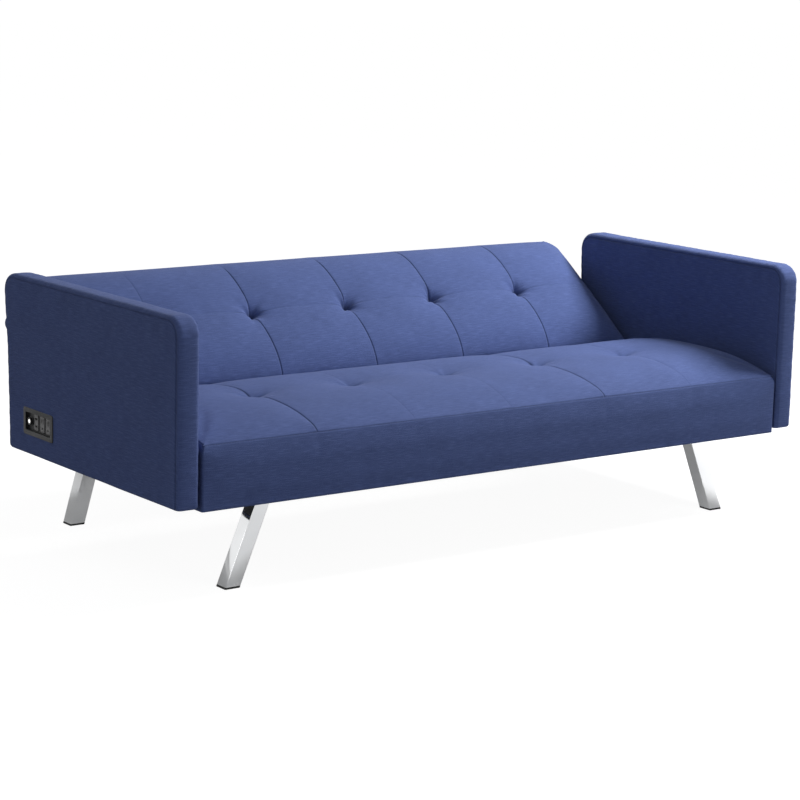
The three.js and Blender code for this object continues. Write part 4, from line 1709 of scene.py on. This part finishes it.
# ---- Power panel ----------------------------------------------------------------------------------


@dataclass
class PowerPanel:
    """The power panel on the left arm's outer face: bezel, plate, three inserts and a lit button."""

    face_x: float
    border: float = 11 * MM
    corner: float = 5 * MM
    slot_depth: float = 13 * MM
    earth_radius: float = 2.6 * MM
    earth_drop: float = 9 * MM
    charging_slots: tuple[tuple[float, ...], ...] = (
        (0, 9 * MM, 12 * MM, 5.5 * MM),
        (0, -9 * MM, 12 * MM, 5.5 * MM),
    )
    outlet_slots: tuple[tuple[float, ...], ...] = (
        (-4 * MM, 8 * MM, 3.2 * MM, 12 * MM),
        (4 * MM, 8 * MM, 3.2 * MM, 12 * MM),
    )

    def build(self, materials: Materials) -> None:
        """Build the panel's pieces and dress them.

        Args:
            materials: the materials by slot.
        """
        dress(self.bezel(), Body.BASE, Slot.PLASTIC, materials, ("panel_bezel",))
        for kind in ("charging", "rear_outlet", "front_outlet"):
            node = f"panel_{kind}_insert"
            dress(self.insert(node), Body.BASE, Slot.SOCKET, materials, (node,))
        dress(self.button(), Body.BUTTON, Slot.LENS, materials, ("panel_button",))
        dress(self.ring(), Body.BASE, Slot.PLASTIC, materials)

    def bezel(self) -> bpy.types.Object:
        """Model the raised frame with round corners and a sloped inner edge.

        Returns:
            The frame.
        """
        low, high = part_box("panel_bezel")
        obj = new_block("panel_frame", low, high)
        bevel_edges(obj, self.corner, 5, along(X))
        inner = Vector((5 * MM, -self.border, -self.border))
        window = new_block("window", low - inner, high + inner)
        bevel_edges(window, 3 * MM, 4, along(X))
        carve(obj, window)
        return finished(obj, 0.8 * MM, 3)

    def insert(self, node: str) -> bpy.types.Object:
        """Model one insert with round corners and its slots.

        Args:
            node: the node that it stands for.

        Returns:
            The insert.
        """
        low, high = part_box(node)
        obj = new_block(node.replace("panel_", "power_"), low, high)
        bevel_edges(obj, 3 * MM, 4, along(X))
        middle = (low + high) / 2
        outlet = "outlet" in node
        for y, z, wide, tall in self.outlet_slots if outlet else self.charging_slots:
            start = (low.x - MM, middle.y + y - wide / 2, middle.z + z - tall / 2)
            end = (low.x + self.slot_depth, middle.y + y + wide / 2, middle.z + z + tall / 2)
            carve(obj, new_block("slot_tool", start, end))
        if outlet:
            lower = Vector((low.x - MM, middle.y, middle.z - self.earth_drop))
            deeper = lower + Vector((self.slot_depth, 0, 0))
            carve(obj, new_bar("earth_tool", self.earth_radius, lower, deeper, 20))
        return finished(obj, 0.5 * MM)

    def button(self) -> bpy.types.Object:
        """Model the round button with a dished face.

        Returns:
            The button, with its lit middle marked.
        """
        low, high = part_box("panel_button")
        middle = (low + high) / 2
        radius = (high.y - low.y) / 2
        obj = new_bar("power_button", radius, (high.x, *middle.yz), (low.x, *middle.yz), 48)
        steps = ((1.2 * MM, 0), (1.0 * MM, -0.5 * MM), (1.8 * MM, 0), (0.2 * MM, 0))
        inset_faces(obj, facing(X), *steps)
        points = coordinates(finished(obj, 0.35 * MM))
        off_axis = np.hypot(points[:, 1] - middle.y, points[:, 2] - middle.z)
        put_attribute(obj, LIT, "FLOAT", off_axis < radius - 4.1 * MM)
        return obj

    def ring(self) -> bpy.types.Object:
        """Model the collar that guides the button.

        Returns:
            The collar.
        """
        low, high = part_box("panel_button")
        middle = (low + high) / 2
        radius = (high.y - low.y) / 2
        start, end = self.face_x + 4.4 * MM, self.face_x + 10 * MM
        obj = new_bar("power_button_collar", radius + 3 * MM, (start, *middle.yz), (end, *middle.yz), 48)
        bore = ((start - 5 * MM, *middle.yz), (end + 5 * MM, *middle.yz))
        carve(obj, new_bar("bore_tool", radius + 0.4 * MM, *bore, 48))
        return finished(obj, 0.4 * MM)


# ---- Studio ---------------------------------------------------------------------------------------


@dataclass
class Studio:
    """A pale floor, soft lights and the camera."""

    lens: float = 108.1
    eye: Vector = Vector((-3.5817, -4.8821, 1.4637))
    target: Vector = Vector((-0.0487, -0.09598, 0.3142))
    roll: float = math.radians(1.379)
    floor_glow: float = 0.935
    mirrored_glow: float = 0.2
    ambient: float = 0.22

    def build(self) -> None:
        """Set up the whole studio."""
        self.camera()
        self.world()
        self.floor()
        self.light("key", (2.4, -0.6, 2.8), (0.1, 0.0, 0.3), 1.1, 125.0)
        self.light("front_fill", (0.6, -5.0, 1.6), (0.0, 0.0, 0.4), 2.4, 24.0)
        self.light("side_fill", (-4.2, -0.3, 0.45), (-0.9, 0.0, 0.4), 0.9, 5.4)
        bpy.context.scene.view_settings.view_transform = "Standard"

    def camera(self) -> None:
        """Place the camera and make it the scene's."""
        data = bpy.data.cameras.new("camera")
        data.lens = self.lens
        data.sensor_width = 36.0
        data.clip_end = 100.0
        forward = (self.target - self.eye).normalized()
        right = forward.cross(Vector((0, 0, 1))).normalized()
        up = right.cross(forward)
        turned_right = math.cos(self.roll) * right + math.sin(self.roll) * up
        turned_up = math.cos(self.roll) * up - math.sin(self.roll) * right
        turn = Matrix((turned_right, turned_up, -forward)).transposed()
        obj = add_object("camera", data)
        obj.matrix_world = Matrix.Translation(self.eye) @ turn.to_4x4()
        bpy.context.scene.camera = obj

    def world(self) -> None:
        """Make a white surround that lights the sofa only dimly."""
        world = bpy.data.worlds.new("studio")
        graph = fresh_graph(world)
        rays = graph.node("LightPath")
        seen = graph.math("MAXIMUM", rays.outputs["Is Camera Ray"], rays.outputs["Is Glossy Ray"])
        strength = graph.ramp(seen, 0.0, 1.0, (self.ambient, 1.02))
        ground = graph.node("Background", {"Color": WHITE, "Strength": strength})
        graph.node("OutputWorld", {0: ground.outputs[0]})
        bpy.context.scene.world = world

    def floor(self) -> None:
        """Lay a pale floor that keeps a soft shadow."""
        deselect_all()
        bpy.ops.mesh.primitive_plane_add(size=60.0, location=(0, 0, -0.2 * MM))
        obj = bpy.context.object
        obj.name = "floor"
        material = bpy.data.materials.new("floor")
        graph = fresh_graph(material)
        rays = graph.node("LightPath")
        dim = graph.node("BsdfDiffuse", {"Color": (0.3, 0.3, 0.3, 1)}).outputs[0]
        glow = graph.node("Emission", {"Color": WHITE, "Strength": self.floor_glow})
        pale = graph.node("AddShader", {0: dim, 1: glow.outputs[0]})
        bright = graph.node("BsdfDiffuse", {"Color": (0.85, 0.85, 0.85, 1)})
        sheen = graph.node("Emission", {"Color": WHITE, "Strength": self.mirrored_glow})
        mirrored = graph.node("AddShader", {0: bright.outputs[0], 1: sheen.outputs[0]})
        glossy = {0: rays.outputs["Is Glossy Ray"], 1: dim, 2: mirrored.outputs[0]}
        unseen = graph.node("MixShader", glossy)
        seen = {0: rays.outputs["Is Camera Ray"], 1: unseen.outputs[0], 2: pale.outputs[0]}
        graph.node("OutputMaterial", {0: graph.node("MixShader", seen).outputs[0]})
        obj.data.materials.append(material)

    def light(
        self, name: str, place: Sequence[float], at: Sequence[float], size: float, watts: float
    ) -> None:
        """Hang one square soft light.

        Args:
            name: the light's name.
            place: where it hangs.
            at: the point that it faces.
            size: its side.
            watts: its power.
        """
        data = bpy.data.lights.new(name, "AREA")
        data.shape = "SQUARE"
        data.size = size
        data.energy = watts
        obj = add_object(name, data)
        obj.location = place
        obj.rotation_mode = "QUATERNION"
        obj.rotation_quaternion = (Vector(at) - Vector(place)).to_track_quat("-Z", "Y")


# ---- The sofa -------------------------------------------------------------------------------------


@dataclass
class Sofa:
    """The whole sofa, worked out from the frame's own places.

    leg_leans says how far each end's legs move inwards along x and forwards along y for each metre up.
    """

    materials: Materials
    leg_leans: dict[str, tuple[float, float]] = field(
        default_factory=lambda: {"front": (0.41, 0.0), "rear": (0.22, 0.1)}
    )

    def pivot(self) -> Vector:
        """Return the point that the back turns about."""
        joint = next(j for j in frame["joints"] if j["name"] == "back_recline")
        return Vector(joint["pos_m"])

    def seat(self) -> SeatCushion:
        """Return the seat cushion in the space of its cover.

        Returns:
            The seat cushion, not yet built.
        """
        low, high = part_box("seat_cover")
        return SeatCushion(
            half=high.x,
            near=low.y,
            far=high.y,
            floor=low.z,
            edge=high.z - 41 * MM,
            ceiling=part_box("seat_dust_cover")[1].z + 0.15 * MM,
            tuft_y=low.y + 277 * MM,
        )

    def build(self) -> None:
        """Build every sub-assembly in order, then dress the nodes that are still shown."""
        seat = self.seat()
        cushion = seat.build(self.materials)
        self.front_stitches(seat, cushion)
        BackCushion(pivot=self.pivot()).build(self.materials)
        self.arms()
        self.legs()
        self.panel().build(self.materials)
        self.dress_frame()

    def front_stitches(self, seat: SeatCushion, cushion: bpy.types.Object) -> None:
        """Sew the top-stitching along the seat's front edge.

        Args:
            seat: the seat cushion's sizes.
            cushion: the finished seat cushion.
        """
        reach = seat.half - 8 * MM

        def path(distance: float) -> Vector:
            """Return a point above the front edge."""
            return Vector((distance - reach, seat.near + 7 * MM, seat.edge + 0.1))

        StitchRow("seat_front_stitches", Body.BASE).build(
            cushion, path, 2 * reach, Vector((0, 0, -1)), self.materials
        )

    def arms(self) -> None:
        """Build both arms; the left one has the power panel's pocket."""
        for side in Side:
            low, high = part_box(f"arm_{side.label}_cover")
            pocket = self.pocket() if side is Side.LEFT else None
            BoxArm(side, low, high).build(self.materials, pocket)

    def pocket(self) -> tuple[Vector, Vector]:
        """Return the corners of the space that the power panel's housing needs."""
        low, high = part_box("panel_housing")
        room = Vector((0.4 * MM, 0.4 * MM, 0.4 * MM))
        return low - room - Vector((5 * MM, 0, 0)), high + room

    def legs(self) -> None:
        """Build the four legs."""
        half = SquareLeg.size / 2
        for end, (lean_x, lean_y) in self.leg_leans.items():
            low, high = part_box(f"foot_{end}_right")
            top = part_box(f"leg_{end}_right")[1].z
            y = low.y + half if lean_y == 0 else high.y - half
            post = LegPost(end, high.x - half, y, top, lean_x, lean_y)
            for side in Side:
                SquareLeg(post, side).build(self.materials)

    def panel(self) -> PowerPanel:
        """Return the power panel at its place on the left arm."""
        return PowerPanel(face_x=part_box("arm_left_cover")[0].x)

    def dress_frame(self) -> None:
        """Give every node that is still shown the finish of its slot."""
        for part in frame["record"]["subparts"]:
            node = frame["nodes"][part["node"]]
            if node.hide_render:
                continue
            node.data.materials.clear()
            node.data.materials.append(self.materials[Slot(part["material_slot"])])
            log.info("frame part %s: %s", part["node"], part["material_slot"])


def main() -> None:
    """Build the studio, the finishes and the sofa."""
    logging.basicConfig(level=logging.INFO, format="%(name)s: %(message)s")
    Studio().build()
    Sofa(build_materials()).build()


if __name__ == "__main__":
    main()
